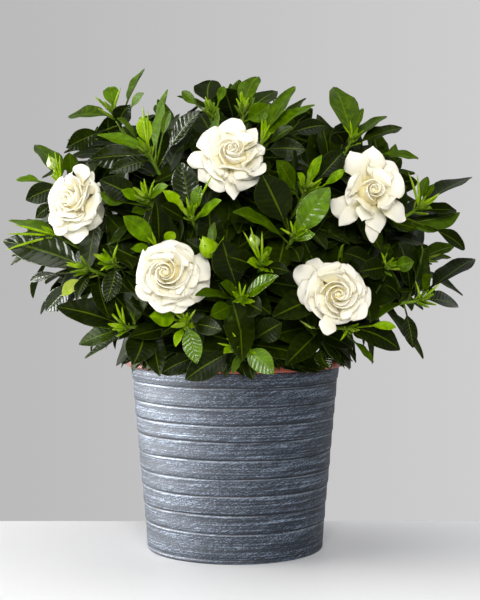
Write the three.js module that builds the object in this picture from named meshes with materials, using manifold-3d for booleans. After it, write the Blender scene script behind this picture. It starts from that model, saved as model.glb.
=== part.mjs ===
// A flowering gardenia in a ridged zinc pot. Millimetres, +Z up.
// The origin is the centre of the pot's underside and -Y is the side that faces the viewer.
import * as THREE from "three";
import { mergeVertices } from "three/addons/utils/BufferGeometryUtils.js";
import Module from "manifold-3d";

const wasm = await Module();
wasm.setup();

// Zinc pot: radii of the outer wall, height, sheet thickness and the height of each pressed ledge
const POT_BASE_RADIUS = 84;
const POT_TOP_RADIUS = 100;
const POT_HEIGHT = 174;
const POT_WALL = 2;
const POT_SIDES = 24;
const LEDGE_HEIGHTS = [29, 46, 63, 79, 96, 113, 128, 144, 162];
const LEDGE_DEPTH = 1.4;
const LEDGE_DROP = 1.2;

// Plastic grow pot that hangs by its flange on the zinc pot's top edge
const GROW_BASE_RADIUS = 72;
const GROW_BASE_Z = 8;
const GROW_NECK_RADIUS = 96.5;
const GROW_RIM_RADIUS = 104.5;
const GROW_RIM_HEIGHT = 7.5;
const GROW_WALL = 1.8;
const GROW_EDGE = 1.5;
const SEAT_GAP = 0.3;

// Root ball of potting soil, with the hole that the woody stem stands in
const SOIL_TOP_Z = 166;
const SOIL_GAP = 0.8;
const STEM_HOLE_DEPTH = 45;
const TRUNK_RADIUS = 7;
const TRUNK_TOP_Z = 226;

// Crown of the plant: a dome that the shoot tips reach
const CROWN_CENTRE = new THREE.Vector3(0, 0, 285);
const CROWN_HALF_WIDTH = 226;
const CROWN_HALF_DEPTH = 196;
const CROWN_HALF_HEIGHT = 176;
const CROWN_HEART = new THREE.Vector3(0, 8, 208);
const APEX_INSET = 20;
const BACK_INSET = 45;
const BACK_DEPTH_INSET = 40;

// Shoot stems, leaves, petals and buds
const STEM_LENGTH = 72;
const STEM_RADIUS = 2.1;
const STEM_TIP_RADIUS = 1.7;
const BUD_STEM_RADIUS = 1.4;
const TWIG_RADIUS = 2;
const LIMB_RADIUS = 4.4;
const LIMB_TIP_RADIUS = 3.4;
const LIMBS_ROUND = 6;
const LEADER_Z = 268;
const HEART_CLEAR = 62;

// Rings of limbs: first one's turn in radians, reach, start and end height
const LIMB_RINGS = [
  { turn: 0.3, reach: 46, low: 212, high: 242 },
  { turn: 0.8, reach: 52, low: 182, high: 198 },
];
const BLADE_THICKNESS = 1.5;
const PETAL_THICKNESS = 1.8;
const PETIOLE_HALF = 0.8;
const ROOT_HALF = 0.25;
const LEAF_SLENDERNESS = 0.42;
const LONGEST_LEAF = 80;
const ROOT_SPACING = 3.4;
const ROOT_OUT = 0.15;
const SPIKE_WIDTH = 2.4;
const SPIKES_PER_SHOOT = 1;
const BLOOM_RADIUS = 37;
const BLOOM_NECK = 16;
const NECK_RADIUS = 2.6;
const HEART_LENGTH = 22;
const INNER_PETAL_WIDTH = 17;
const CLEARANCE = 0.4;
const TRIES = 26;

// The picture's pinhole view, which places what it shows: eye point, focal length and centre in pixels
const EYE = new THREE.Vector3(0, -1315, 282);
const FOCAL_PX = 1365;
const CENTRE_PX = 235;
const HORIZON_PX = 252.4;

// Each shoot in view: name, apex in pixels, then its leaves.
// A leaf is tip x, tip y, width in view (mm), tone, base x, base y; a spike is tip x, tip y.
const SHOOTS = [
  { name: "shoot_crown_left", apex: [112, 112],
    leaves: [
      [68, 117, 12, "dark", 104, 122], [66, 148, 19, "glossy", 99, 135], [110, 88, 15, "young", 112, 107],
      [145, 70, 6, "mid", 129, 102], [143, 93, 7, "young", 132, 107], [131, 104, 18, "dark", 104, 130],
    ],
    spikes: [[121, 87], [94, 96], [104, 100]] },
  { name: "shoot_upper_left", apex: [148, 151],
    leaves: [
      [97, 135, 10, "young", 145, 150], [88, 159, 22, "glossy", 142, 152], [109, 174, 14, "dark", 147, 164],
      [142, 117, 14, "young", 146, 148], [167, 89, 9, "young", 155, 150], [171, 110, 8, "mid", 161, 130],
      [201, 111, 13, "glossy", 160, 150], [117, 118, 6, "young", 132, 130],
    ],
    spikes: [[143, 105], [148, 110]] },
  { name: "shoot_left_high", apex: [60, 182],
    leaves: [
      [36, 147, 17, "mid", 60, 180], [26, 200, 19, "dark", 58, 189], [17, 181, 7, "young", 35, 177],
      [69, 152, 14, "olive", 75, 178], [36, 218, 11, "mid", 46, 203],
    ],
    spikes: [[48, 153], [55, 150], [60, 154]], bud: [52, 163, 5] },
  { name: "shoot_far_left", apex: [55, 235],
    leaves: [
      [9, 222, 9, "young", 51, 232], [10, 264, 8, "mid", 48, 243], [14, 243, 12, "dark", 50, 238],
    ],
    spikes: [[13, 224], [6, 234], [4, 251]] },
  { name: "shoot_left_low", apex: [84, 267],
    leaves: [
      [3, 242, 29, "dark", 80, 267], [1, 294, 20, "under", 38, 267], [46, 311, 17, "dark", 71, 280],
      [30, 281, 8, "glossy", 47, 271], [77, 301, 9, "dark", 87, 268], [110, 318, 19, "dark", 87, 272],
      [62, 296, 9, "pale", 80, 272],
    ],
    spikes: [[66, 262]] },
  { name: "shoot_centre_left", apex: [111, 262],
    leaves: [
      [106, 303, 17, "glossy", 120, 266], [133, 269, 7, "young", 123, 246], [141, 297, 12, "dark", 121, 281],
    ],
    spikes: [[95, 256], [100, 271], [104, 249], [118, 244]] },
  { name: "shoot_low_left", apex: [124, 327],
    leaves: [
      [56, 307, 23, "dark", 121, 326], [79, 345, 16, "glossy", 124, 333], [89, 326, 7, "young", 122, 330],
      [85, 359, 6, "mid", 126, 340], [136, 322, 10, "mid", 124, 296], [133, 365, 28, "dark", 160, 322],
    ],
    spikes: [[106, 307], [115, 301], [122, 306]] },
  { name: "shoot_middle_left", apex: [156, 246],
    leaves: [
      [123, 216, 17, "young", 154, 243], [156, 199, 15, "dark", 162, 243], [131, 249, 8, "young", 152, 246],
      [174, 232, 10, "young", 162, 244],
    ],
    spikes: [[147, 237], [152, 231]] },
  { name: "shoot_inner_left", apex: [147, 198],
    leaves: [
      [169, 186, 8, "young", 150, 197], [121, 190, 10, "pale", 141, 202], [100, 180, 21, "dark", 138, 206],
      [100, 193, 12, "mid", 124, 213], [132, 212, 8, "pale", 145, 216],
    ],
    spikes: [[144, 178], [155, 179], [159, 183], [141, 186]] },
  { name: "shoot_centre_high", apex: [191, 216],
    leaves: [
      [181, 162, 23, "glossy", 190, 207], [201, 186, 10, "pale", 193, 212], [221, 200, 8, "young", 200, 222],
      [163, 191, 10, "young", 188, 212], [160, 205, 12, "dark", 184, 222],
    ],
    spikes: [[186, 196], [213, 174]] },
  { name: "shoot_top_centre", apex: [212, 113],
    leaves: [
      [211, 81, 25, "dark", 197, 110], [182, 91, 9, "mid", 196, 106], [224, 87, 8, "young", 218, 100],
      [220, 128, 22, "pale", 212, 104], [212, 95, 9, "mid", 196, 112], [175, 153, 10, "dark", 200, 134],
    ],
    spikes: [[205, 96]] },
  { name: "shoot_top_right", apex: [243, 110],
    leaves: [
      [257, 76, 17, "olive", 241, 107], [255, 97, 6, "mid", 246, 112], [270, 104, 18, "dark", 250, 124],
    ],
    spikes: [[236, 98], [249, 97], [240, 92]] },
  { name: "shoot_upper_right", apex: [262, 140],
    leaves: [
      [296, 88, 14, "glossy", 262, 130], [315, 105, 10, "young", 264, 138], [327, 126, 15, "dark", 287, 124],
      [306, 150, 18, "dark", 268, 146], [293, 127, 9, "mid", 266, 142],
    ],
    spikes: [[262, 118], [270, 124]] },
  { name: "shoot_crown_right", apex: [353, 139],
    leaves: [
      [335, 86, 24, "young", 352, 136], [363, 108, 8, "young", 354, 135], [387, 118, 9, "mid", 357, 138],
      [402, 130, 11, "dark", 363, 142], [332, 132, 16, "dark", 352, 143], [418, 160, 7, "mid", 385, 146],
      [399, 172, 15, "dark", 383, 152],
    ],
    spikes: [[350, 120], [343, 125]] },
  { name: "shoot_far_right", apex: [420, 207],
    leaves: [
      [428, 177, 9, "young", 419, 200], [434, 185, 7, "young", 423, 202], [472, 180, 11, "dark", 426, 201],
      [456, 212, 11, "dark", 425, 208], [460, 213, 19, "under", 402, 238], [465, 250, 12, "dark", 440, 230],
    ],
    spikes: [[408, 172], [417, 174], [440, 193]] },
  { name: "shoot_right_low", apex: [422, 300],
    leaves: [
      [431, 274, 9, "young", 425, 292], [459, 306, 14, "mid", 430, 300], [474, 258, 17, "dark", 437, 291],
      [398, 242, 18, "dark", 417, 285], [424, 245, 5, "mid", 424, 273], [413, 348, 13, "dark", 408, 314],
      [384, 284, 11, "dark", 411, 298], [376, 319, 10, "mid", 410, 298],
    ],
    spikes: [[440, 283], [415, 280]] },
  { name: "shoot_low_right", apex: [350, 328],
    leaves: [
      [401, 350, 22, "dark", 355, 328], [396, 327, 8, "young", 372, 324], [364, 340, 6, "young", 352, 330],
      [373, 363, 6, "mid", 350, 346], [311, 330, 12, "pale", 284, 315], [334, 359, 9, "dark", 306, 338],
      [331, 370, 14, "glossy", 302, 355],
    ],
    spikes: [[340, 341]] },
  { name: "shoot_centre_right", apex: [295, 236],
    leaves: [
      [330, 187, 24, "glossy", 297, 232], [315, 234, 10, "young", 297, 240], [262, 174, 32, "dark", 283, 226],
      [266, 171, 14, "dark", 296, 205], [233, 212, 9, "young", 284, 242], [300, 262, 15, "dark", 296, 242],
    ],
    spikes: [[280, 228], [290, 220]] },
  { name: "shoot_inner_right", apex: [307, 189],
    leaves: [
      [322, 155, 9, "young", 308, 185], [297, 173, 6, "young", 305, 186], [343, 152, 20, "dark", 318, 181],
      [294, 150, 7, "young", 286, 178], [345, 170, 8, "pale", 330, 190], [276, 160, 15, "dark", 298, 192],
    ],
    spikes: [[323, 178], [312, 168]] },
  { name: "shoot_centre", apex: [241, 299],
    leaves: [
      [222, 239, 29, "dark", 234, 285], [279, 276, 12, "glossy", 243, 296], [220, 283, 9, "young", 239, 294],
      [195, 296, 7, "mid", 238, 303], [262, 312, 20, "dark", 244, 303], [210, 316, 16, "dark", 236, 306],
    ],
    spikes: [[239, 281], [246, 284]] },
  { name: "shoot_centre_bud", apex: [262, 264],
    leaves: [
      [273, 248, 7, "young", 264, 261], [247, 262, 8, "young", 259, 266], [290, 272, 11, "dark", 266, 268],
      [226, 256, 20, "dark", 256, 268],
    ],
    spikes: [[243, 231], [250, 226], [262, 231]], bud: [254, 241, 5] },
  { name: "shoot_round_bud", apex: [211, 253],
    leaves: [
      [216, 222, 8, "young", 208, 252], [226, 230, 8, "young", 211, 254], [186, 240, 12, "dark", 203, 258],
    ],
    spikes: [[199, 238], [213, 238]], bud: [208, 247, 8] },
  { name: "shoot_below_bloom", apex: [186, 323],
    leaves: [
      [197, 364, 17, "glossy", 188, 328], [161, 336, 8, "young", 176, 320], [176, 347, 7, "young", 181, 326],
      [222, 330, 16, "dark", 192, 322], [150, 316, 16, "dark", 180, 318],
    ],
    spikes: [[171, 309], [180, 306], [196, 309]] },
  { name: "shoot_front_low", apex: [244, 349],
    leaves: [
      [274, 374, 20, "glossy", 248, 347], [233, 374, 7, "young", 243, 354], [224, 353, 6, "young", 236, 350],
      [185, 380, 24, "dark", 231, 356], [161, 374, 16, "dark", 190, 352], [201, 318, 17, "dark", 228, 340],
      [283, 322, 22, "dark", 257, 343], [253, 380, 12, "dark", 246, 358],
    ],
    spikes: [[217, 343], [226, 338], [232, 332]] },
  { name: "shoot_right_middle", apex: [388, 266],
    leaves: [
      [358, 272, 19, "dark", 386, 268], [345, 253, 15, "dark", 372, 262], [344, 246, 7, "young", 322, 262],
      [414, 262, 14, "mid", 392, 268], [390, 243, 10, "young", 388, 262],
    ],
    spikes: [[381, 252]] },
];

// Shoots out of view: how far round the crown from its right-hand side, and how high, in degrees
const BACK_SHOOTS = [
  { name: "shoot_side_right", turn: 12, rise: 34 },
  { name: "shoot_side_right_low", turn: 2, rise: -4 },
  { name: "shoot_side_left", turn: 178, rise: 44 },
  { name: "shoot_side_left_low", turn: 182, rise: 2 },
  { name: "shoot_back_right", turn: 38, rise: 6 },
  { name: "shoot_back_right_high", turn: 48, rise: 44 },
  { name: "shoot_back_right_mid", turn: 68, rise: 22 },
  { name: "shoot_back_low", turn: 88, rise: -8 },
  { name: "shoot_back_high", turn: 96, rise: 56 },
  { name: "shoot_back_mid", turn: 104, rise: 20 },
  { name: "shoot_back_left_high", turn: 134, rise: 40 },
  { name: "shoot_back_left", turn: 132, rise: 4 },
  { name: "shoot_back_left_mid", turn: 160, rise: 20 },
  { name: "shoot_top_back_right", turn: 40, rise: 70 },
  { name: "shoot_top_back_left", turn: 155, rise: 66 },
  { name: "shoot_top_middle", turn: 270, rise: 84 },
];

// Leaf pairs down a stem: distance below the apex, leaf length, lean from the stem in degrees
const INNER_PAIRS = [[38, 62, 64]];
const BACK_PAIRS = [[5, 46, 26], [20, 64, 50], [42, 70, 70]];

// Each bloom: centre in pixels, way it faces (right, towards the viewer, up), depth inside the crown,
// then its petals as tip x, tip y, width (mm), how much nearer than the centre the tip stands (mm)
const BLOOMS = [
  { name: "bloom_left", centre: [76, 201], faces: [-0.55, 0.8, 0.15], inset: 16,
    petals: [
      [82, 164, 26, 2], [64, 179, 22, 8], [50, 204, 24, 2], [50, 224, 17, 4], [56, 235, 20, 2],
      [75, 244, 28, -4], [94, 229, 26, -6], [103, 218, 26, -12], [101, 198, 26, -8], [99, 182, 24, -12],
      [92, 171, 18, -6],
    ] },
  { name: "bloom_top", centre: [232, 157], faces: [0, 0.86, 0.5], inset: 10,
    petals: [
      [232, 118, 27, -8], [203, 133, 27, -6], [187, 161, 18, 2], [198, 180, 23, 2], [213, 190, 23, 4],
      [234, 200, 16, 6], [251, 187, 30, 6], [265, 172, 28, 0], [265, 148, 24, -6], [256, 128, 24, -8],
    ] },
  { name: "bloom_centre", centre: [167, 273], faces: [-0.1, 0.97, 0.08], inset: 8,
    petals: [
      [174, 240, 32, -4], [152, 247, 26, -6], [140, 262, 28, -2], [139, 298, 20, 8], [161, 313, 26, 0],
      [182, 313, 24, -4], [195, 303, 26, -4], [209, 292, 27, -8], [210, 266, 28, -8], [189, 246, 22, -4],
      [199, 277, 24, 6],
    ] },
  { name: "bloom_right_low", centre: [336, 293], faces: [0.12, 0.96, -0.05], inset: 8,
    petals: [
      [346, 264, 26, -2], [324, 263, 26, -2], [306, 262, 24, -8], [294, 270, 24, -10], [297, 293, 26, -6],
      [304, 304, 23, -2], [326, 335, 17, 10], [347, 323, 26, 0], [366, 317, 23, -4], [371, 302, 24, -6],
      [364, 282, 24, -8],
    ] },
  { name: "bloom_right_high", centre: [370, 192], faces: [0.2, 0.93, 0.16], inset: 8,
    petals: [
      [373, 146, 28, -4], [350, 151, 27, -2], [349, 180, 18, 8], [404, 182, 27, 2], [394, 162, 24, -6],
      [362, 221, 21, 8], [406, 220, 24, -6], [380, 233, 26, 0], [373, 243, 16, -2], [332, 213, 22, -4],
      [339, 226, 18, -2],
    ] },
];

// Young inner petals that every bloom wraps round its heart
const INNER_PETALS = 3;
const BUD_RADIUS = 8;

const UP = new THREE.Vector3(0, 0, 1);
const LEAF_GREEN = new THREE.MeshStandardMaterial({ color: 0x2f4410, roughness: 0.35, metalness: 0 });
const PETAL_WHITE = new THREE.MeshStandardMaterial({ color: 0xf3f1e2, roughness: 0.6, metalness: 0 });
const BARK_BROWN = new THREE.MeshStandardMaterial({ color: 0x7d6a48, roughness: 0.85, metalness: 0 });
const ZINC_GREY = new THREE.MeshStandardMaterial({ color: 0x8b929c, roughness: 0.42, metalness: 0.9 });
const CLAY_PLASTIC = new THREE.MeshStandardMaterial({ color: 0xc0705a, roughness: 0.5, metalness: 0 });
const SOIL_BROWN = new THREE.MeshStandardMaterial({ color: 0x3a2a1e, roughness: 0.95, metalness: 0 });

// A repeatable number from 0 to 1 for a set of whole numbers
function chance(...keys) {
  let hash = 2166136261;
  for (const key of keys) {
    hash = Math.imul(hash ^ key, 16777619) >>> 0;
    hash = (hash ^ (hash >>> 13)) >>> 0;
  }
  hash = Math.imul(hash, 2246822519) >>> 0;
  hash = (hash ^ (hash >>> 15)) >>> 0;
  return hash / 4294967296;
}

// A repeatable number from -1 to 1
function sway(...keys) {
  return chance(...keys) * 2 - 1;
}

// The point that shows at a pixel of the picture, at a depth along Y
function at(px, py, depth) {
  const scale = (depth - EYE.y) / FOCAL_PX;
  return new THREE.Vector3((px - CENTRE_PX) * scale, depth, EYE.z - (py - HORIZON_PX) * scale);
}

// Depth of the crown's front surface behind a pixel
function crownDepth(px, py) {
  let depth = -CROWN_HALF_DEPTH * 0.7;
  for (let round = 0; round < 4; round += 1) {
    const point = at(px, py, depth);
    const across = point.x / CROWN_HALF_WIDTH;
    const above = (point.z - CROWN_CENTRE.z) / CROWN_HALF_HEIGHT;
    depth = -CROWN_HALF_DEPTH * Math.sqrt(Math.max(0, 1 - across * across - above * above));
  }
  return depth;
}

// A closed body through rings of points, pointed at its far end where a tip is given
function loft(rings, tip) {
  const points = rings.flat();
  const count = rings[0].length;
  const triangles = [];
  for (let cap = 1; cap < count - 1; cap += 1) {
    triangles.push(0, cap + 1, cap);
  }
  for (let ring = 0; ring < rings.length - 1; ring += 1) {
    for (let side = 0; side < count; side += 1) {
      const a = ring * count + side;
      const b = ring * count + ((side + 1) % count);
      if (side % 2 === 0) {
        triangles.push(a, b, b + count, a, b + count, a + count);
      } else {
        triangles.push(a, b, a + count, b, b + count, a + count);
      }
    }
  }
  const last = (rings.length - 1) * count;
  if (tip) {
    points.push(tip);
    for (let side = 0; side < count; side += 1) {
      triangles.push(last + side, last + ((side + 1) % count), points.length - 1);
    }
  } else {
    for (let cap = 1; cap < count - 1; cap += 1) {
      triangles.push(last, last + cap, last + cap + 1);
    }
  }
  const geometry = new THREE.BufferGeometry().setFromPoints(points);
  geometry.setIndex(triangles);
  return geometry;
}

// Volume that a closed geometry holds, negative where its faces point inwards
function signedVolume(position, index) {
  const a = new THREE.Vector3();
  const b = new THREE.Vector3();
  const c = new THREE.Vector3();
  let volume = 0;
  for (let i = 0; i < index.length; i += 3) {
    a.fromBufferAttribute(position, index[i]);
    b.fromBufferAttribute(position, index[i + 1]);
    c.fromBufferAttribute(position, index[i + 2]);
    volume += a.dot(b.cross(c)) / 6;
  }
  return volume;
}

// A three.js geometry as a solid that can be joined and cut
function solid(geometry) {
  const bare = geometry.clone();
  bare.deleteAttribute("normal");
  bare.deleteAttribute("uv");
  const merged = mergeVertices(bare, 1e-4);
  const index = merged.index.array;
  const flip = signedVolume(merged.attributes.position, index) < 0;
  const triangles = [];
  for (let i = 0; i < index.length; i += 3) {
    const [a, b, c] = [index[i], index[i + 1], index[i + 2]];
    if (a !== b && b !== c && c !== a) {
      triangles.push(a, flip ? c : b, flip ? b : c);
    }
  }
  return new wasm.Manifold(new wasm.Mesh({
    numProp: 3,
    vertProperties: Float32Array.from(merged.attributes.position.array),
    triVerts: Uint32Array.from(triangles),
  }));
}

// A solid as a three.js mesh with a name and a material
function meshOf(name, body, material) {
  const mesh = body.getMesh();
  const geometry = new THREE.BufferGeometry();
  geometry.setAttribute("position", new THREE.BufferAttribute(Float32Array.from(mesh.vertProperties), 3));
  geometry.setIndex(new THREE.BufferAttribute(Uint32Array.from(mesh.triVerts), 1));
  geometry.computeVertexNormals();
  const result = new THREE.Mesh(geometry, material);
  result.name = name;
  return result;
}

// Several solids as one: its largest body, without loose scraps or sealed hollows
function fuse(solids) {
  const joined = wasm.Manifold.union(solids).simplify(0.01);
  return joined.decompose().reduce((best, body) => (body.volume() > best.volume() ? body : best));
}

// A point on the curve from start to end that leans towards a middle point
function bend(start, middle, end, t) {
  const point = start.clone().multiplyScalar((1 - t) * (1 - t));
  point.addScaledVector(middle, 2 * (1 - t) * t);
  return point.addScaledVector(end, t * t);
}

// Direction of that curve
function bendDirection(start, middle, end, t) {
  const way = middle.clone().sub(start).multiplyScalar(1 - t);
  return way.addScaledVector(end.clone().sub(middle), t).normalize();
}

// Direction square to a given one, as close as can be to a wanted one
function squareTo(direction, wanted) {
  return wanted.clone().addScaledVector(direction, -wanted.dot(direction)).normalize();
}

// Direction out from the axis of a shoot or bloom, turned round it
function turnedWay(axis, turn) {
  return axis.across.clone().multiplyScalar(Math.cos(turn)).addScaledVector(axis.other, Math.sin(turn));
}

// A facing direction rolled towards the side of its blade
function rolledFace(front, across, roll) {
  return front.clone().multiplyScalar(Math.cos(roll)).addScaledVector(across, -Math.sin(roll));
}

// Half width of a leaf or petal along its blade, as a share of the widest
const OUTLINES = {
  leaf: (s) => (Math.pow(s, 0.7) * Math.pow(1 - s, 0.75)) / 0.3725,
  petal: (s) => (s * Math.sqrt(1 - Math.pow(s, 4))) / 0.62,
};
const STATIONS = {
  leaf: [0.28, 0.58, 0.85],
  short: [0.34, 0.74],
  petal: [0.36, 0.68, 0.9],
};

// A thin curved blade with a narrow root; grow makes it fatter all round, to test what it would touch
function blade(form, grow) {
  const { root, middle, tip, face, width, fold, petiole, thickness, outline, stations } = form;
  const along = tip.clone().sub(root).normalize();
  const across = new THREE.Vector3().crossVectors(along, squareTo(along, face));
  const ring = (t, halfWidth, halfThickness, lift) => {
    const centre = bend(root, middle, tip, t);
    const normal = new THREE.Vector3().crossVectors(across, bendDirection(root, middle, tip, t)).normalize();
    return [
      centre.clone().addScaledVector(across, -halfWidth).addScaledVector(normal, lift + halfThickness),
      centre.clone().addScaledVector(across, halfWidth).addScaledVector(normal, lift + halfThickness),
      centre.clone().addScaledVector(normal, -halfThickness),
    ];
  };
  const rings = [ring(0, ROOT_HALF + grow, ROOT_HALF + grow, 0)];
  if (petiole > 0.12) {
    rings.push(ring(petiole, PETIOLE_HALF + grow, PETIOLE_HALF + grow, 0));
  }
  for (const station of STATIONS[stations]) {
    const half = (OUTLINES[outline](station) * width) / 2;
    rings.push(ring(petiole + (1 - petiole) * station, half + grow, thickness / 2 + grow, half * fold * 0.5));
  }
  return solid(loft(rings, tip.clone().addScaledVector(along, grow * 2)));
}

// The same blade without the share of its length next to its root
function pastRoot(form, share) {
  const { root, middle, tip } = form;
  const start = bend(root, middle, tip, share);
  return { ...form, root: start, middle: middle.clone().lerp(tip, share), petiole: 0 };
}

// A tapering round stem along a curve, cut square at both ends
function stemSolid(start, middle, end, radiusStart, radiusEnd, sides, steps) {
  const rings = [];
  const side = new THREE.Vector3().crossVectors(bendDirection(start, middle, end, 0.5), UP);
  if (side.length() < 0.1) {
    side.set(1, 0, 0);
  }
  for (let step = 0; step <= steps; step += 1) {
    const t = step / steps;
    const way = bendDirection(start, middle, end, t);
    const across = squareTo(way, side);
    const other = new THREE.Vector3().crossVectors(way, across);
    const radius = radiusStart + (radiusEnd - radiusStart) * t;
    const centre = bend(start, middle, end, t);
    const ring = [];
    for (let corner = 0; corner < sides; corner += 1) {
      const turn = (corner / sides) * Math.PI * 2;
      ring.push(centre.clone()
        .addScaledVector(across, Math.cos(turn) * radius)
        .addScaledVector(other, Math.sin(turn) * radius));
    }
    rings.push(ring);
  }
  return solid(loft(rings));
}

// A straight round stem with a pointed end
function spikeSolid(root, tip, width) {
  const way = tip.clone().sub(root).normalize();
  const across = squareTo(way, new THREE.Vector3(0.9, 0.1, 0.3));
  const other = new THREE.Vector3().crossVectors(way, across);
  const ring = [];
  for (let corner = 0; corner < 3; corner += 1) {
    const turn = (corner / 3) * Math.PI * 2;
    ring.push(root.clone()
      .addScaledVector(across, (Math.cos(turn) * width) / 2)
      .addScaledVector(other, (Math.sin(turn) * width) / 2));
  }
  return solid(loft([ring], tip));
}

// An egg-shaped bud round a centre
function budSolid(centre, way, radius, length) {
  const across = squareTo(way, new THREE.Vector3(0.9, 0.1, 0.3));
  const other = new THREE.Vector3().crossVectors(way, across);
  const rings = [];
  for (const [share, size] of [[-0.5, 0.35], [-0.1, 1], [0.3, 0.8]]) {
    const ring = [];
    for (let corner = 0; corner < 6; corner += 1) {
      const turn = (corner / 6) * Math.PI * 2;
      ring.push(centre.clone().addScaledVector(way, share * length)
        .addScaledVector(across, Math.cos(turn) * radius * size)
        .addScaledVector(other, Math.sin(turn) * radius * size));
    }
    rings.push(ring);
  }
  return solid(loft(rings, centre.clone().addScaledVector(way, length * 0.62)));
}

// Solids that are in place already, each with its node's name and its box
const placed = [];

function place(node, body) {
  placed.push({ node, body, box: body.boundingBox() });
}

function boxesMeet(a, b) {
  return [0, 1, 2].every((axis) => a.min[axis] <= b.max[axis] && b.min[axis] <= a.max[axis]);
}

// True where a solid stays clear of every placed solid of its own node, or else of the other nodes
function isClear(node, body, own) {
  const box = body.boundingBox();
  return placed.every((other) => {
    if ((other.node === node) !== own || !boxesMeet(box, other.box)) {
      return true;
    }
    const shared = body.intersect(other.body);
    const empty = shared.isEmpty();
    shared.delete();
    return empty;
  });
}

// A leaf seen in the picture: its curve, and how far it rolls so that it shows the width seen there
function seenLeaf(shoot, number, attempt) {
  const [tipX, tipY, seenWidth, tone, baseX, baseY] = shoot.leaves[number];
  const key = shoot.index * 100 + number;
  const reach = attempt === 0 ? 0 : 6 + attempt * 1.6;
  const away = at(baseX, baseY, shoot.tip.y).distanceTo(shoot.tip);
  const baseDepth = shoot.tip.y + 0.4 * away + reach * 0.4 * sway(key, attempt, 1);
  const base = at(baseX, baseY, baseDepth);
  const flatLength = at(tipX, tipY, baseDepth).distanceTo(base);
  const spare = Math.sqrt(Math.max(36, LONGEST_LEAF * LONGEST_LEAF * 0.8 - flatLength * flatLength));
  const limit = Math.min(spare, 0.9 * flatLength + 10);
  const toCrown = crownDepth(tipX, tipY) - baseDepth;
  const tipDepth = baseDepth + THREE.MathUtils.clamp(toCrown, -limit, limit) + reach * sway(key, attempt, 2);
  const tip = at(tipX, tipY, tipDepth);
  const root = shoot.rootToward(base, 1.5 + number * ROOT_SPACING);
  const length = tip.distanceTo(base);
  const width = Math.max(seenWidth, Math.min(length * LEAF_SLENDERNESS, 32));
  const along = tip.clone().sub(root).normalize();
  const front = squareTo(along, EYE.clone().sub(base));
  const across = new THREE.Vector3().crossVectors(along, front);
  let roll = Math.acos(Math.min(1, seenWidth / width));
  if (across.z > 0) {
    roll = -roll;
  }
  roll += 0.35 * sway(key, attempt, 3) * Math.min(1, attempt / 6);
  const face = rolledFace(front, across, roll);
  if (tone === "under") {
    face.negate();
  }
  const arch = 0.08 + 0.08 * sway(key, attempt, 4);
  const middle = base.clone().lerp(tip, 0.45).addScaledVector(UP, arch * length);
  const petiole = Math.min(0.4, Math.max(0.05, root.distanceTo(base) / (root.distanceTo(base) + length)));
  return {
    root, middle, tip, face, width, fold: 0.22, petiole, thickness: BLADE_THICKNESS,
    outline: "leaf", stations: length < 44 ? "short" : "leaf",
  };
}

// A leaf of a pair further down a stem, set by rule
function pairLeaf(shoot, pair, number, attempt) {
  const [below, fullLength, lean] = shoot.pairs[pair];
  const key = shoot.index * 100 + 40 + pair * 4 + number;
  const wild = Math.min(1, attempt / 8);
  const swing = 0.8 * wild * sway(key, attempt, 1) + 0.25 * sway(key, 7);
  const turn = (number + pair / 2) * Math.PI + shoot.twist + swing;
  const tilt = THREE.MathUtils.degToRad(lean + 8 * sway(key, 8) + 22 * wild * sway(key, attempt, 2));
  const length = fullLength * (0.92 + 0.1 * sway(key, 9)) * (1 - 0.22 * wild * chance(key, attempt, 5));
  const outward = turnedWay(shoot, turn);
  const root = shoot.pointBelow(below + number * ROOT_SPACING)
    .addScaledVector(outward, STEM_TIP_RADIUS * ROOT_OUT);
  const way = shoot.way.clone().multiplyScalar(Math.cos(tilt)).addScaledVector(outward, Math.sin(tilt));
  const tip = root.clone().addScaledVector(way, length).addScaledVector(UP, -0.1 * length);
  const roll = 0.35 * sway(key, 10) + 0.4 * wild * sway(key, attempt, 3);
  const up = squareTo(way, shoot.way.clone().addScaledVector(UP, 0.8));
  const across = new THREE.Vector3().crossVectors(way, up);
  const face = rolledFace(up, across, roll);
  const middle = root.clone().lerp(tip, 0.5).addScaledVector(face, 0.1 * length);
  return {
    root, middle, tip, face, width: length * LEAF_SLENDERNESS, fold: 0.2, petiole: 0.06,
    thickness: BLADE_THICKNESS, outline: "leaf", stations: "short",
  };
}

// A petal from a bloom's heart to a tip seen in the picture
function seenPetal(bloom, number, attempt) {
  const [tipX, tipY, width, nearer] = bloom.petals[number];
  const reach = Math.min(1, attempt / 10);
  const tip = at(tipX, tipY, bloom.heart.y - nearer + 10 * reach * sway(bloom.index, number, attempt, 1));
  const outward = squareTo(bloom.way, tip.clone().sub(bloom.heart));
  const root = bloom.heart.clone().addScaledVector(outward, BUD_RADIUS * 0.7)
    .addScaledVector(bloom.way, (nearer > 5 ? 2 : -5) + 3 * reach * sway(bloom.index, number, attempt, 4));
  const along = tip.clone().sub(root).normalize();
  const across = new THREE.Vector3().crossVectors(along, squareTo(along, bloom.way));
  const roll = 0.3 + 0.25 * reach * sway(bloom.index, number, attempt, 2);
  const face = rolledFace(squareTo(along, bloom.way), across, roll);
  const length = tip.distanceTo(root);
  const cup = (nearer > 5 ? 0.02 : 0.14) + 0.12 * reach * sway(bloom.index, number, attempt, 3);
  const middle = root.clone().lerp(tip, 0.5).addScaledVector(bloom.way, cup * length);
  return {
    root, middle, tip, face, width, fold: 0.2, petiole: 0.04,
    thickness: PETAL_THICKNESS, outline: "petal", stations: "petal",
  };
}

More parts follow.
